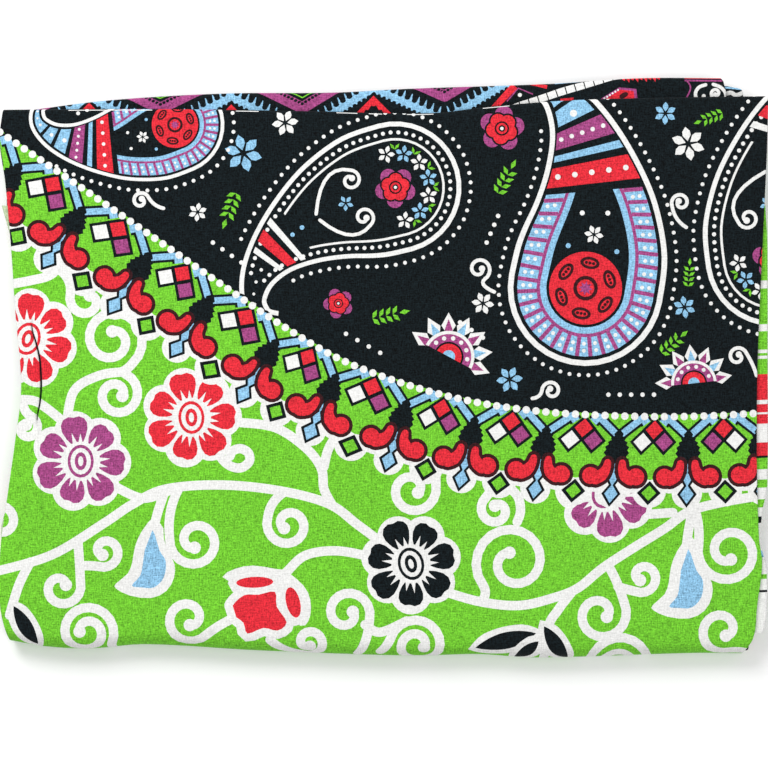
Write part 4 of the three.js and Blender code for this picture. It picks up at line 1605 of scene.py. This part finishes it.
@dataclass
class Stretch:
    """One stretch of the printed cloth, flat in the middle and folded under at its edges."""

    name: str
    node: str
    slot: str
    level: float  # height of its outer face
    left: EdgeCurve
    right: EdgeCurve
    near: EdgeCurve
    far: EdgeCurve
    left_fold: Fold = Fold()
    right_fold: Fold = Fold()
    near_fold: Fold = Fold()
    far_fold: Fold = Fold()
    columns: int = 80
    rows: int = 60
    facing: int = 1  # 1 faces up, -1 faces down
    creases: tuple[Crease, ...] = ()
    pleat: bool = False
    wall: float = CLOTH

    def relief(self) -> np.ndarray:
        """Grid of cloth places, rows of (s, t), close together round the folds.

        Returns:
            An array of rows, columns and the two places.
        """
        across = self.seats(self.left_fold, self.right_fold, self.columns)
        along = self.seats(self.near_fold, self.far_fold, self.rows)
        s = np.zeros((len(along), len(across)))
        t = np.zeros_like(s)
        for _ in range(4):
            low, high = self.left.at(t) + self.left_fold.radius, self.right.at(t) - self.right_fold.radius
            s = low + (high - low) * across[None, :, 0] + across[None, :, 1]
            low, high = self.near.at(s) + self.near_fold.radius, self.far.at(s) - self.far_fold.radius
            t = low + (high - low) * along[:, None, 0] + along[:, None, 1]
        return np.stack([s, t], axis=2)

    @staticmethod
    def seats(low: Fold, high: Fold, count: int) -> np.ndarray:
        """Grid lines across one way of the cloth.

        Args:
            low: The fold at the low end.
            high: The fold at the high end.
            count: Steps of the flat part between them.

        Returns:
            Rows of (share of the flat part, millimetres past it).
        """
        rows = [(0.0, -past) for past in low.lines()]
        rows += [(k / count, 0.0) for k in range(1, count)]
        rows += [(1.0, past) for past in reversed(high.lines())]
        return np.array(rows)

    def swell(self, x: np.ndarray, y: np.ndarray) -> np.ndarray:
        """Height of the soft creases at plan points.

        Args:
            x: Places along X.
            y: Places along Y.

        Returns:
            Heights over the flat face.
        """
        total = np.zeros_like(x)
        for row in self.creases:
            turn = math.radians(row.bearing)
            along = ((x - row.x) * math.cos(turn) + (y - row.y) * math.sin(turn)) / row.length
            across = ((y - row.y) * math.cos(turn) - (x - row.x) * math.sin(turn)) / row.width
            total += row.height * np.exp(-(along**4) - across**2)
        if self.pleat:
            total += PLEAT.height_at(x, y)
        return total

    def place(self, s: np.ndarray, t: np.ndarray) -> np.ndarray:
        """Where cloth places lie in the packet.

        Args:
            s: Places along X in the flat cloth.
            t: Places along Y in the flat cloth.

        Returns:
            Points of the outer face, in millimetres.
        """
        near, far = self.near.at(s), self.far.at(s)
        start, end = near + self.near_fold.radius, far - self.far_fold.radius
        out_far, drop_far, angle_far = self.far_fold.turn(t - end)
        out_near, drop_near, angle_near = self.near_fold.turn(start - t)
        y = np.clip(t, start, end) + np.where(t > end, out_far, 0) - np.where(t < start, out_near, 0)
        lean = angle_far - angle_near
        drop = drop_far + drop_near
        seat = np.clip(y, near, far)
        left, right = self.left.at(seat), self.right.at(seat)
        low, high = left + self.left_fold.radius, right - self.right_fold.radius
        out_left, down_left, _ = self.left_fold.turn(low - s)
        out_right, down_right, _ = self.right_fold.turn(s - high)
        x = np.clip(s, low, high) - np.where(s < low, out_left, 0) + np.where(s > high, out_right, 0)
        down = down_left + down_right
        margin = np.minimum(np.minimum(x - left, right - x), np.minimum(y - near, far - y))
        fade = np.clip(margin / 9.0, 0.0, 1.0)
        flat = (down == 0) & (drop == 0)
        height = np.where(flat, self.swell(x, y) * fade * fade * (3 - 2 * fade), 0.0)
        z = self.level + self.facing * (height - drop - np.cos(lean) * down)
        return np.stack([x, y - np.sin(lean) * down, z], axis=1)

    def outward(self, s: np.ndarray, t: np.ndarray) -> np.ndarray:
        """Unit normals of the outer face.

        Args:
            s: Places along X in the flat cloth.
            t: Places along Y in the flat cloth.

        Returns:
            One vector for each place.
        """
        step = 0.03
        along = self.place(s + step, t) - self.place(s - step, t)
        aside = self.place(s, t + step) - self.place(s, t - step)
        made = np.cross(along, aside) * self.facing
        return made / np.maximum(np.linalg.norm(made, axis=1, keepdims=True), 1e-12)


@dataclass(frozen=True)
class SidePleat:
    """The pressed pleat near the left edge: cloth on its right stands over the cloth on its left."""

    top: Point = (-184.9, 23.0)
    bottom: Point = (-182.1, -27.5)
    tail: Point = (-178.8, -88.0)
    step: float = 1.7
    spread: float = 11.0
    LINE: tuple[Point, ...] = (
        (-88.0, -178.8), (-50.0, -181.4), (-26.9, -182.1), (-19.0, -180.6), (-10.3, -179.8), (4.1, -180.5),
        (13.4, -182.6), (20.6, -184.7), (40.0, -186.0),
    )  # along Y, across  # fmt: skip

    def line_at(self, y: np.ndarray) -> np.ndarray:
        """The crease's place along X."""
        return EdgeCurve(self.LINE).at(y)

    def height_at(self, x: np.ndarray, y: np.ndarray) -> np.ndarray:
        """How far the cloth stands over its flat place.

        Args:
            x: Places along X.
            y: Places along Y.

        Returns:
            Millimetres over its flat place.
        """
        away = x - self.line_at(y)
        strong = np.clip((y - self.bottom[1] + 8) / 12, 0, 1) * np.clip((self.top[1] + 8 - y) / 14, 0, 1)
        faint = np.clip((y - self.tail[1]) / 16, 0, 1) * np.clip((self.bottom[1] + 6 - y) / 8, 0, 1)
        share = strong + 0.28 * faint
        high = np.exp(-np.maximum(away, 0) / self.spread)
        low = -0.3 * np.exp(np.minimum(away, 0) / (self.spread * 0.5))
        blend = np.clip(away / 0.5 + 0.5, 0, 1)
        groove = np.exp(-(((away + 0.55) / 0.5) ** 2))
        return self.step * share * (low * (1 - blend) + high * blend - 0.75 * groove)


PLEAT = SidePleat()


class ClothMesh:
    """Turns a stretch and its print into one closed, printed shell."""

    MERGE = 1e-3  # points nearer than this become one
    SLIVER = 1e-7  # twice the area below which a triangle is left out

    def __init__(self, stretch: Stretch, art: Print) -> None:
        """Keeps the stretch and its print.

        Args:
            stretch: The stretch of cloth.
            art: What is printed on it.
        """
        self.stretch = stretch
        self.art = art
        self.flat_size = (0.0, 0.0)
        self.flat_area = 0.0

    def border_of(self, grid: np.ndarray) -> list[int]:
        """The grid's border as vertex numbers, against the clock.

        Args:
            grid: The relief grid.

        Returns:
            The vertex numbers.
        """
        rows, cols = grid.shape[:2]
        loop = list(range(cols))
        loop += [j * cols + cols - 1 for j in range(1, rows)]
        loop += [(rows - 1) * cols + i for i in range(cols - 2, -1, -1)]
        loop += [j * cols for j in range(rows - 2, 0, -1)]
        return loop

    def grid_edges(self, grid: np.ndarray) -> list[tuple[int, int]]:
        """The grid's lines as pairs of vertex numbers.

        Args:
            grid: The relief grid.

        Returns:
            Pairs of vertex numbers.
        """
        rows, cols = grid.shape[:2]
        edges = [(j * cols + i, j * cols + i + 1) for j in range(rows) for i in range(cols - 1)]
        edges += [(j * cols + i, (j + 1) * cols + i) for j in range(rows - 1) for i in range(cols)]
        return edges

    def pleat_edges(self, points: list[Vector]) -> list[tuple[int, int]]:
        """Adds lines along the pressed pleat, so that its step stays sharp.

        Args:
            points: The points so far; those of the pleat are added.

        Returns:
            Pairs of vertex numbers.
        """
        edges = []
        if not self.stretch.pleat:
            return edges
        ys = np.linspace(PLEAT.tail[1], PLEAT.top[1] + 8, 40)
        for offset in (-3.0, -1.4, -0.95, -0.55, -0.2, 0.26, 1.0, 3.0):
            xs = PLEAT.line_at(ys) + offset
            first = len(points)
            points.extend(Vector((float(x), float(y))) for x, y in zip(xs, ys))
            edges += [(first + k, first + k + 1) for k in range(len(ys) - 1)]
        return edges

    def triangles(self, shapes: list[tuple[Ink, np.ndarray]], grid: np.ndarray, extra: np.ndarray) -> tuple:
        """Triangulates the flat cloth so that every printed edge is a mesh edge.

        Args:
            shapes: Printed polygons, in order.
            grid: The relief grid.
            extra: More points that must be kept, as a closed loop, or none.

        Returns:
            Flat points, triangles, each triangle's ink, and where each extra point went.
        """
        border = self.border_of(grid)
        points = [Vector(p) for p in grid.reshape(-1, 2)]
        edges = self.grid_edges(grid)
        if len(extra):
            first = len(points)
            points += [Vector(p) for p in extra]
        edges += self.pleat_edges(points)
        low, high = grid.reshape(-1, 2).min(axis=0), grid.reshape(-1, 2).max(axis=0)
        faces, inks = [border], [self.art.ground]
        for ink, polygon in shapes:
            if (polygon.max(axis=0) < low).any() or (polygon.min(axis=0) > high).any():
                continue
            start = len(points)
            points += [Vector(p) for p in polygon]
            faces.append(list(range(start, start + len(polygon))))
            inks.append(ink)
        out = delaunay_2d_cdt(points, edges, faces, 1, self.MERGE, True)
        flat = np.array([tuple(p) for p in out[0]])
        kept, colours = [], []
        for face, sources in zip(out[2], out[5]):
            if 0 not in sources:
                continue
            for k in range(1, len(face) - 1):
                kept.append((face[0], face[k], face[k + 1]))
                colours.append(inks[max(sources)].value)
        where = {}
        if len(extra):
            for number, sources in enumerate(out[3]):
                for source in sources:
                    if first <= source < first + len(extra):
                        where[source - first] = number
        return flat, np.array(kept), np.array(colours), where

    @staticmethod
    def turned(points: np.ndarray, faces: np.ndarray) -> np.ndarray:
        """Turns triangles against the clock, in place.

        Args:
            points: Flat points.
            faces: Triangles, which are changed.

        Returns:
            Twice each triangle's area, with the sign that it had before.
        """
        a, b, c = (points[faces[:, k]] for k in range(3))
        area = (b[:, 0] - a[:, 0]) * (c[:, 1] - a[:, 1]) - (b[:, 1] - a[:, 1]) * (c[:, 0] - a[:, 0])
        faces[area < 0] = faces[area < 0][:, ::-1]
        return area

    @staticmethod
    def rim_edges(faces: np.ndarray) -> np.ndarray:
        """Directed edges that only one triangle has.

        Args:
            faces: Triangles as vertex numbers.

        Returns:
            Rows of two vertex numbers.
        """
        ways = np.concatenate([faces[:, [0, 1]], faces[:, [1, 2]], faces[:, [2, 0]]])
        seen = {(int(a), int(b)) for a, b in ways}
        return np.array([(a, b) for a, b in seen if (b, a) not in seen])

    def build(self, wardrobe: Wardrobe) -> bpy.types.Object:
        """Makes the shell: the printed face, its reverse and the cut edge between them.

        Args:
            wardrobe: The inks' materials.

        Returns:
            The new object.
        """
        stretch = self.stretch
        grid = stretch.relief()
        flat, faces, inks, _ = self.triangles(self.art.shapes, grid, np.zeros((0, 2)))
        area = self.turned(flat, faces)
        keep = np.abs(area) > self.SLIVER
        faces, inks = faces[keep], inks[keep]
        self.flat_area = float(np.abs(area).sum() / 2) * MM * MM
        span = (flat[np.unique(faces)].max(axis=0) - flat[np.unique(faces)].min(axis=0)) * MM
        self.flat_size = (round(float(span[0]), 3), round(float(span[1]), 3))
        rim = self.rim_edges(faces)
        loop = np.unique(rim)
        under, under_faces, _, where = self.triangles([], grid, flat[loop])
        under_faces = under_faces[np.abs(self.turned(under, under_faces)) > self.SLIVER]
        outer = stretch.place(flat[:, 0], flat[:, 1])
        inner = stretch.place(under[:, 0], under[:, 1])
        inner -= stretch.outward(under[:, 0], under[:, 1]) * stretch.wall
        shift = len(outer)
        place = {int(loop[k]): where[k] + shift for k in range(len(loop)) if k in where}
        strips = [(b, a, place[a], place[b]) for a, b in rim.tolist() if a in place and b in place]
        under_faces = under_faces[:, ::-1] + shift
        points = np.concatenate([outer, inner])
        polygons = [*faces.tolist(), *under_faces.tolist(), *strips]
        if stretch.facing < 0:
            polygons = [tuple(reversed(p)) for p in polygons]
        flats = np.concatenate([flat, under])
        indexes = np.concatenate([inks, np.full(len(under_faces) + len(strips), Ink.REVERSE.value)])
        sharp = {tuple(sorted(pair)) for pair in rim.tolist()}
        sharp |= {tuple(sorted((c, d))) for *_, c, d in strips}
        return self.finish(wardrobe, points, polygons, flats, indexes, sharp)

    def finish(
        self,
        wardrobe: Wardrobe,
        points: np.ndarray,
        polygons: list,
        flats: np.ndarray,
        indexes: np.ndarray,
        sharp: set[tuple[int, int]],
    ) -> bpy.types.Object:
        """Makes the Blender object from its lists.

        Args:
            wardrobe: The inks' materials.
            points: Places in the packet, in millimetres.
            polygons: Vertex numbers of each face.
            flats: The same points in the flat cloth.
            indexes: Each face's ink.
            sharp: Pairs of points whose edge is a cut edge.

        Returns:
            The new object.
        """
        used = np.unique(np.array([v for p in polygons for v in p]))
        new = np.full(len(points), -1)
        new[used] = np.arange(len(used))
        rows = [[int(new[v]) for v in p] for p in polygons]
        piece = dressed_mesh(self.stretch.name, points[used], rows, flats[used], indexes, wardrobe)
        mesh = piece.data
        pairs = np.zeros(len(mesh.edges) * 2, np.int32)
        mesh.edges.foreach_get("vertices", pairs)
        cut = {tuple(sorted((int(new[a]), int(new[b])))) for a, b in sharp}
        flags = np.array([tuple(sorted(pair)) in cut for pair in pairs.reshape(-1, 2).tolist()])
        mesh.edges.foreach_set("use_edge_sharp", flags)
        mesh.update()
        return piece


# ---------------------------------------------------------------------------------------------
# The packet
# ---------------------------------------------------------------------------------------------


class SarongPacket:
    """Builds every stretch of the folded sarong."""

    def __init__(self, wardrobe: Wardrobe) -> None:
        """Keeps the inks for all the pieces."""
        self.wardrobe = wardrobe

    def declare(self, stretch: Stretch, art: Print) -> None:
        """Makes a piece, hangs it under the root body and hides the part that it stands for.

        Args:
            stretch: The stretch of cloth.
            art: Its print.
        """
        made = ClothMesh(stretch, art)
        piece = made.build(self.wardrobe)
        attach(piece, "root")
        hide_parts(stretch.node)

    def front(self) -> None:
        """The printed front panel, with its roll at the near edge."""
        stretch = Stretch(
            name="front_cloth",
            node="front_panel",
            slot="front_print",
            level=THICKNESS,
            left=LEFT_EDGE,
            right=RIGHT_EDGE,
            near=NEAR_EDGE,
            far=FAR_EDGE,
            left_fold=Fold(0.75, 7.0),
            right_fold=Fold(0.75, 7.0),
            near_fold=Fold(ROLL, 4.0, 14),
            far_fold=Fold(1.6, 28.0, 8),
            columns=84,
            rows=60,
            creases=(
                Crease(-120, -60, 90, 42, 12, 0.5),
                Crease(40, 40, 110, 50, -20, 0.6),
                Crease(130, -70, 80, 34, 35, 0.5),
                Crease(-60, -132, 60, 9, 4, 0.45),
                Crease(96, -134, 70, 8, -3, 0.5),
                Crease(-188, 70, 40, 7, 84, 0.5),
                Crease(176, 40, 70, 9, 86, 0.35),
                Crease(10, 118, 90, 8, 2, 0.3),
            ),
            pleat=True,
        )
        art = Print(Ink.LIME)
        VineGround().print_on(art)
        border = Border()
        border.field(art)
        PaisleyField().print_on(art)
        border.print_on(art)
        # Painted shadow: a thin black line printed along the pleat's crease, standing in for the shade that
        # the raised cloth casts on the cloth under it.
        ys = np.linspace(PLEAT.top[1], PLEAT.bottom[1], 12)
        pleat_shadow_line = np.stack([PLEAT.line_at(ys) - 0.5, ys], axis=1)
        art.ribbon(Ink.BLACK, pleat_shadow_line, 1.15 * np.sin(math.pi * np.linspace(0.06, 0.95, 12)) ** 0.5)
        # Painted highlight: thin white lines printed just inside the far edge, standing in for light catching
        # the fold.
        for low, high in ((-166, -122), (-78, -66), (-25, -14), (-8, -1), (12, 26), (52, 66)):
            xs = np.linspace(low, high, 6)
            art.ribbon(Ink.WHITE, np.stack([xs, FAR_EDGE.at(xs) - 0.6], axis=1), 0.5, round_ends=False)
        self.declare(stretch, art)

    def back(self) -> None:
        """The chevron stretch behind the far edge, and the lower fold under it."""
        low_end = EdgeCurve(((60, 85.0), (200, 85.0)))
        upper = Stretch(
            name="back_cloth",
            node="back_layer",
            slot="stripe_print",
            level=THICKNESS - 3.5,
            left=EdgeCurve(((80, -199.0), (160, -199.0))),
            right=EdgeCurve(((80, 180.4), (146, 180.4), (150, 179.6), (154, 177.6))),
            near=low_end,
            far=BACK_FOLD,
            left_fold=Fold(0.75, 6.0),
            right_fold=Fold(0.75, 6.0),
            far_fold=Fold(1.6, 30.0, 8),
            columns=70,
            rows=12,
            creases=(Crease(-60, 141, 50, 3, 1, 0.3), Crease(80, 144, 40, 3, 3, 0.35)),
        )
        art = Print(Ink.BLACK)
        stripe = ChevronStripe()
        stripe.print_on(art, 0.0)
        stripe.ladder(art)
        self.declare(upper, art)
        lower = Stretch(
            name="back_low_cloth",
            node="back_layer_low",
            slot="stripe_print",
            level=THICKNESS - 7.0,
            left=EdgeCurve(((80, -198.0), (160, -198.0))),
            right=EdgeCurve(((80, 190.2), (143, 190.0), (147, 189.4), (150, 187.6))),
            near=low_end,
            far=BACK_LOW_FOLD,
            left_fold=Fold(0.75, 6.0),
            right_fold=Fold(0.75, 6.0),
            far_fold=Fold(1.6, 30.0, 8),
            columns=70,
            rows=12,
        )
        art = Print(Ink.BLACK)
        ChevronStripe(first_peak=-50.0).print_on(art, -4.0)
        art.polygon(Ink.BLACK, [(176.0, 130.0), (200.0, 130.0), (200.0, 156.0), (176.0, 156.0)])
        wave = smooth_path([(178.0, 143.6), (183.0, 145.6), (186.0, 144.2), (189.4, 145.4)], 4)
        art.ribbon(Ink.WHITE, wave, 2.2)
        art.ribbon(Ink.BLUE, np.array([(178.0, 148.6), (191.0, 147.6)]), 1.3, round_ends=False)
        self.declare(lower, art)

    def sides(self) -> None:
        """The folds that peep out under the front panel's right and left edges."""
        right_bands = EdgeBands(
            (
                Run(Ink.WHITE, -120), Run(Ink.BLACK, -118.8), Run(Ink.WHITE, -113), Run(Ink.LIME, -110.5),
                Run(Ink.WHITE, -101.5), Run(Ink.BLUE, -98), Run(Ink.WHITE, -83.5), Run(Ink.BLACK, -80),
                Run(Ink.WHITE, -75.3), Run(Ink.LIME, -71), Run(Ink.WHITE, -64.9), Run(Ink.LIME, -60.6),
                Run(Ink.WHITE, -55.2), Run(Ink.LIME, -49.2), Run(Ink.BLACK, -48.1), Run(Ink.RED, -41.1),
                Run(Ink.WHITE, -31.2), Run(Ink.RED, -26.2), Run(Ink.WHITE, -25.2), Run(Ink.RED, -20.9),
                Run(Ink.WHITE, -18.7), Run(Ink.RED, -5.1), Run(Ink.LIME, 3), Run(Ink.WHITE, 4.6),
                Run(Ink.LIME, 6), Run(Ink.WHITE, 7.8), Run(Ink.LIME, 17.5), Run(Ink.WHITE, 21.2),
                Run(Ink.LIME, 40), Run(Ink.WHITE, 44.2), Run(Ink.LIME, 110),
            ),
            start=-160,
        )  # fmt: skip
        # The two REVERSE runs are painted shade: greyish runs where the lower layer shows in shadow at the
        # packet's left edge.
        left_bands = EdgeBands(
            (
                Run(Ink.LIME, -92), Run(Ink.REVERSE, -80), Run(Ink.LIME, 20), Run(Ink.WHITE, 28),
                Run(Ink.LIME, 62), Run(Ink.WHITE, 70), Run(Ink.REVERSE, 110),
            ),
            start=-160,
        )  # fmt: skip
        ends = (EdgeCurve(((-300, -139.4), (300, -139.4))), EdgeCurve(((-300, 85.6), (300, 85.6))))
        right = Stretch(
            name="right_cloth",
            node="right_layer",
            slot="border_print",
            level=THICKNESS - 2.1,
            left=EdgeCurve(((-160, 173.0), (100, 173.0))),
            right=RIGHT_FOLD,
            near=ends[0],
            far=ends[1],
            right_fold=Fold(1.0, 20.0, 8),
            columns=10,
            rows=60,
        )
        art = Print(Ink.LIME)
        right_bands.print_on(art, 150, 215)
        self.declare(right, art)
        left = Stretch(
            name="left_cloth",
            node="left_layer",
            slot="border_print",
            level=THICKNESS - 2.1,
            left=LEFT_FOLD,
            right=EdgeCurve(((-160, -168.0), (100, -168.0))),
            near=EdgeCurve(((-300, -134.6), (300, -134.6))),
            far=ends[1],
            left_fold=Fold(1.0, 20.0, 8),
            columns=10,
            rows=60,
        )
        art = Print(Ink.LIME)
        left_bands.print_on(art, -215, -150)
        self.declare(left, art)

    def underside(self) -> None:
        """The flat stretch that the packet rests on, printed like the front's ground."""
        inset = 1.2
        stretch = Stretch(
            name="underside_cloth",
            node="underside_panel",
            slot="underside_print",
            level=0.0,
            left=LEFT_EDGE.moved(inset),
            right=RIGHT_EDGE.moved(-inset),
            near=NEAR_EDGE.moved(ROLL + 4.4),
            far=FAR_EDGE.moved(-inset),
            left_fold=Fold(0.7, 7.0),
            right_fold=Fold(0.7, 7.0),
            far_fold=Fold(0.7, 20.0),
            columns=40,
            rows=30,
            facing=-1,
        )
        art = Print(Ink.LIME)
        VineGround().print_on(art, lambda p: p * np.array([1.0, -1.0]) + np.array([0.0, -6.0]))
        VineGround().print_on(art, lambda p: p * np.array([-1.0, 1.0]) + np.array([12.0, -8.0]))
        self.declare(stretch, art)


@dataclass
class InnerPlies:
    """The inner layers: folded edges stacked at the sides, nested round the roll, over one core."""

    depth: float = 9.0  # how far each folded edge runs in
    half: float = 0.74  # half the height of a folded edge
    radii: tuple[float, ...] = (5.75, 4.15, 2.55, 0.95)  # from the roll's middle to each nested ply
    jitter: tuple[float, ...] = (1.2, 2.2, 1.6, 2.6)
    side_stop: float = -136.0  # the outer plies' upper run ends here, against the side folds
    far_stop: float = 83.0  # the inner plies end here, against the back folds
    runs: tuple[tuple[Ink, float, float], ...] = (
        (Ink.LIME, 8, 26), (Ink.WHITE, 2, 5), (Ink.LIME, 4, 14), (Ink.BLACK, 6, 30), (Ink.WHITE, 2, 4),
        (Ink.RED, 3, 10), (Ink.WHITE, 1.5, 4), (Ink.PURPLE, 3, 8), (Ink.BLUE, 2, 7),
    )  # fmt: skip
    points: list = field(default_factory=list)
    polygons: list = field(default_factory=list)
    flats: list = field(default_factory=list)
    inks: list = field(default_factory=list)
    length: float = 0.0

    def colour_runs(self, length: float, chance: random.Random) -> list[tuple[Ink, float]]:
        """Random runs of ink along an edge, as (ink, where it ends).

        Args:
            length: The edge's length.
            chance: Source of the random draws.

        Returns:
            The runs, in order.
        """
        at, made = 0.0, []
        while at < length:
            ink, low, high = chance.choice(self.runs)
            at += chance.uniform(low, high)
            made.append((ink, at))
        return made

    def sweep(self, path: np.ndarray, out: np.ndarray, up: np.ndarray, chance: random.Random) -> None:
        """Adds one folded edge as a closed, flattened tube.

        Args:
            path: Its fold line.
            out: Unit ways out of the packet.
            up: Unit ways square to the ply.
            chance: Source of the colour runs.
        """
        section = [(-self.depth, self.half), (-self.depth / 2, self.half)]
        bend = np.linspace(math.pi / 2, -math.pi / 2, 7)
        section += [(self.half * (math.cos(a) - 1), self.half * math.sin(a)) for a in bend]
        section += [(-self.depth / 2, -self.half), (-self.depth, -self.half)]
        run = np.concatenate([[0], np.cumsum(np.linalg.norm(np.diff(path, axis=0), axis=1))])
        self.length += float(run[-1])
        wave = np.array([0.25 * math.sin(r / 19 + len(self.points)) for r in run])
        first, size = len(self.points), len(section)
        for k in range(len(path)):
            for inward, high in section:
                self.points.append(path[k] + out[k] * (inward + wave[k]) + up[k] * high)
                self.flats.append((run[k], inward + high))
        runs = iter(self.colour_runs(run[-1] + 1, chance))
        ink, until = next(runs)
        for k in range(len(path) - 1):
            while until < run[k]:
                ink, until = next(runs)
            for j in range(size):
                a, b = first + k * size + j, first + k * size + (j + 1) % size
                self.polygons.append((a, b, b + size, a + size))
                self.inks.append(ink.value)
        for k, flip in ((0, False), (len(path) - 1, True)):
            ring = [first + k * size + j for j in range(size)]
            self.polygons.append(tuple(reversed(ring)) if not flip else tuple(ring))
            self.inks.append(ink.value)

    def side_ply(self, radius: float, inset: float, side: int, chance: random.Random) -> None:
        """Adds one nested ply at the left (-1) or right (1) side.

        Args:
            radius: From the roll's middle.
            inset: Millimetres behind the outline.
            side: -1 for the left, 1 for the right.
            chance: Source of the random draws.
        """
        edge = LEFT_EDGE if side < 0 else RIGHT_EDGE
        outer = radius > 3.0
        top_end = self.side_stop if outer else self.far_stop
        low_end = 132.0 if outer else self.far_stop
        near = float(NEAR_EDGE.at(np.array([side * 190.0]))[0]) + ROLL
        spots = [(y, ROLL + radius, 0.0) for y in np.arange(top_end, near, -2.5)]
        for angle in np.linspace(0, math.pi, 13):
            spots.append((near - radius * math.sin(angle), ROLL + radius * math.cos(angle), angle))
        spots += [(y, ROLL - radius, math.pi) for y in np.arange(near + 2.5, low_end, 2.5)]
        ys = np.array([spot[0] for spot in spots])
        xs = edge.at(np.clip(ys, near - 2, 140)) - side * inset
        path = np.stack([xs, ys, np.array([spot[1] for spot in spots])], axis=1)
        angle = np.array([spot[2] for spot in spots])
        up = np.stack([np.zeros_like(angle), -np.sin(angle), np.cos(angle)], axis=1)
        out = np.tile(np.array([float(side), 0.0, 0.0]), (len(path), 1))
        if side < 0:
            path, up = path[::-1], up[::-1]
        self.sweep(path, out, up, chance)

    def far_ply(self, height: float, inset: float, chance: random.Random) -> None:
        """Adds one folded edge along the far side, low in the packet.

        Args:
            height: Its middle's height.
            inset: Millimetres behind the outline.
            chance: Source of the random draws.
        """
        xs = np.arange(198.0, -198.0, -2.5)
        path = np.stack([xs, FAR_EDGE.at(xs) - inset, np.full(len(xs), height)], axis=1)
        out = np.tile(np.array([0.0, 1.0, 0.0]), (len(path), 1))
        up = np.tile(np.array([0.0, 0.0, 1.0]), (len(path), 1))
        self.sweep(path, out, up, chance)

    def core(self) -> None:
        """Adds the rounded solid of all that never shows."""
        inset, low, high = 7.0, 1.6, 10.2
        shares = np.linspace(0, 1, 12, endpoint=False)
        ring = []
        for kind in range(4):
            for k in shares:
                u, v = ((k, 0), (1, k), (1 - k, 1), (0, 1 - k))[kind]
                y = -134.0 + v * (76.0 + 134.0)
                x0, x1 = (float(c.at(np.array([y]))[0]) for c in (LEFT_EDGE, RIGHT_EDGE))
                ring.append((x0 + inset + u * (x1 - x0 - 2 * inset), y))
        first, size = len(self.points), len(ring)
        for height, pull in ((low, 0.985), (low + 1.4, 1.0), (high - 1.4, 1.0), (high, 0.985)):
            self.points += [np.array([x * pull, y * pull, height]) for x, y in ring]
            self.flats += list(ring)
        for level in range(3):
            for j in range(size):
                a, b = first + level * size + j, first + level * size + (j + 1) % size
                self.polygons.append((a, b, b + size, a + size))
                self.inks.append(Ink.REVERSE.value)
        self.polygons.append(tuple(first + j for j in reversed(range(size))))
        self.polygons.append(tuple(first + 3 * size + j for j in range(size)))
        self.inks += [Ink.REVERSE.value] * 2

    def build(self, wardrobe: Wardrobe) -> None:
        """Args:
            wardrobe: The inks' materials.
        """
        chance = random.Random(SEED)
        for side in (-1, 1):
            for radius, inset in zip(self.radii, self.jitter):
                self.side_ply(radius, inset + chance.uniform(-0.4, 0.6), side, chance)
        for k, radius in enumerate(self.radii[:2]):
            self.far_ply(ROLL - radius, 1.6 + 0.9 * k, chance)
        self.core()
        points, flats, inks = np.array(self.points), np.array(self.flats), np.array(self.inks)
        piece = dressed_mesh("inner_plies", points, self.polygons, flats, inks, wardrobe)
        mesh = piece.data
        mesh.set_sharp_from_angle(angle=math.radians(50))
        mesh.update()
        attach(piece, "root")
        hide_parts("hidden_layers")
        LOG.info("inner_plies: %d faces, %.2f m of folded edges", len(mesh.polygons), self.length * MM)


class Studio:
    """Floor, soft lights and the camera straight above."""

    width: float = 404.0  # what the picture is wide, in millimetres
    centre: Point = (0.0, -8.4)
    height: float = 1500.0

    def floor(self) -> None:
        """A plain pale floor just under the cloth."""
        mesh = bpy.data.meshes.new("floor")
        side = 3.0
        square = [(-side, -side, 0), (side, -side, 0), (side, side, 0), (-side, side, 0)]
        mesh.from_pydata(square, [], [(0, 1, 2, 3)])
        floor = bpy.data.objects.new("floor", mesh)
        floor.location.z = -0.0002
        bpy.context.scene.collection.objects.link(floor)
        paint = bpy.data.materials.new("pale_floor")
        paint.use_nodes = True
        shader = paint.node_tree.nodes["Principled BSDF"]
        shader.inputs["Base Color"].default_value = (0.93, 0.93, 0.93, 1.0)
        shader.inputs["Roughness"].default_value = 0.9
        mesh.materials.append(paint)

    def lamp(self, name: str, at: tuple[float, float, float], size: float, power: float) -> None:
        """An area lamp that looks at the packet.

        Args:
            name: Its name.
            at: Its place in metres.
            size: Its side in metres.
            power: Its power in watts.
        """
        data = bpy.data.lights.new(name, "AREA")
        data.size, data.energy = size, power
        lamp = bpy.data.objects.new(name, data)
        lamp.location = at
        lamp.rotation_euler = Vector(at).to_track_quat("Z", "Y").to_euler()
        bpy.context.scene.collection.objects.link(lamp)

    def build(self) -> None:
        """Makes the floor, the lights, the sky and the camera."""
        scene = bpy.context.scene
        self.floor()
        self.lamp("key", (-0.55, 1.05, 1.05), 0.9, 22.0)
        self.lamp("fill", (0.7, -0.5, 1.9), 1.6, 16.0)
        world = bpy.data.worlds.new("soft_sky")
        world.use_nodes = True
        world.node_tree.nodes["Background"].inputs["Color"].default_value = (1.0, 1.0, 1.0, 1.0)
        world.node_tree.nodes["Background"].inputs["Strength"].default_value = 0.50
        scene.world = world
        scene.view_settings.view_transform = "Standard"
        data = bpy.data.cameras.new("camera")
        data.sensor_width = 36.0
        data.lens = 36.0 * (self.height - THICKNESS) / self.width
        camera = bpy.data.objects.new("camera", data)
        camera.location = (self.centre[0] * MM, self.centre[1] * MM, self.height * MM)
        scene.collection.objects.link(camera)
        scene.camera = camera


def main() -> None:
    """Builds the studio and the sarong piece by piece; the inner plies log their faces and length."""
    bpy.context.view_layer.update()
    Studio().build()
    wardrobe = Wardrobe()
    packet = SarongPacket(wardrobe)
    packet.front()
    packet.back()
    packet.sides()
    packet.underside()
    InnerPlies().build(wardrobe)


if __name__ == "__main__":
    main()
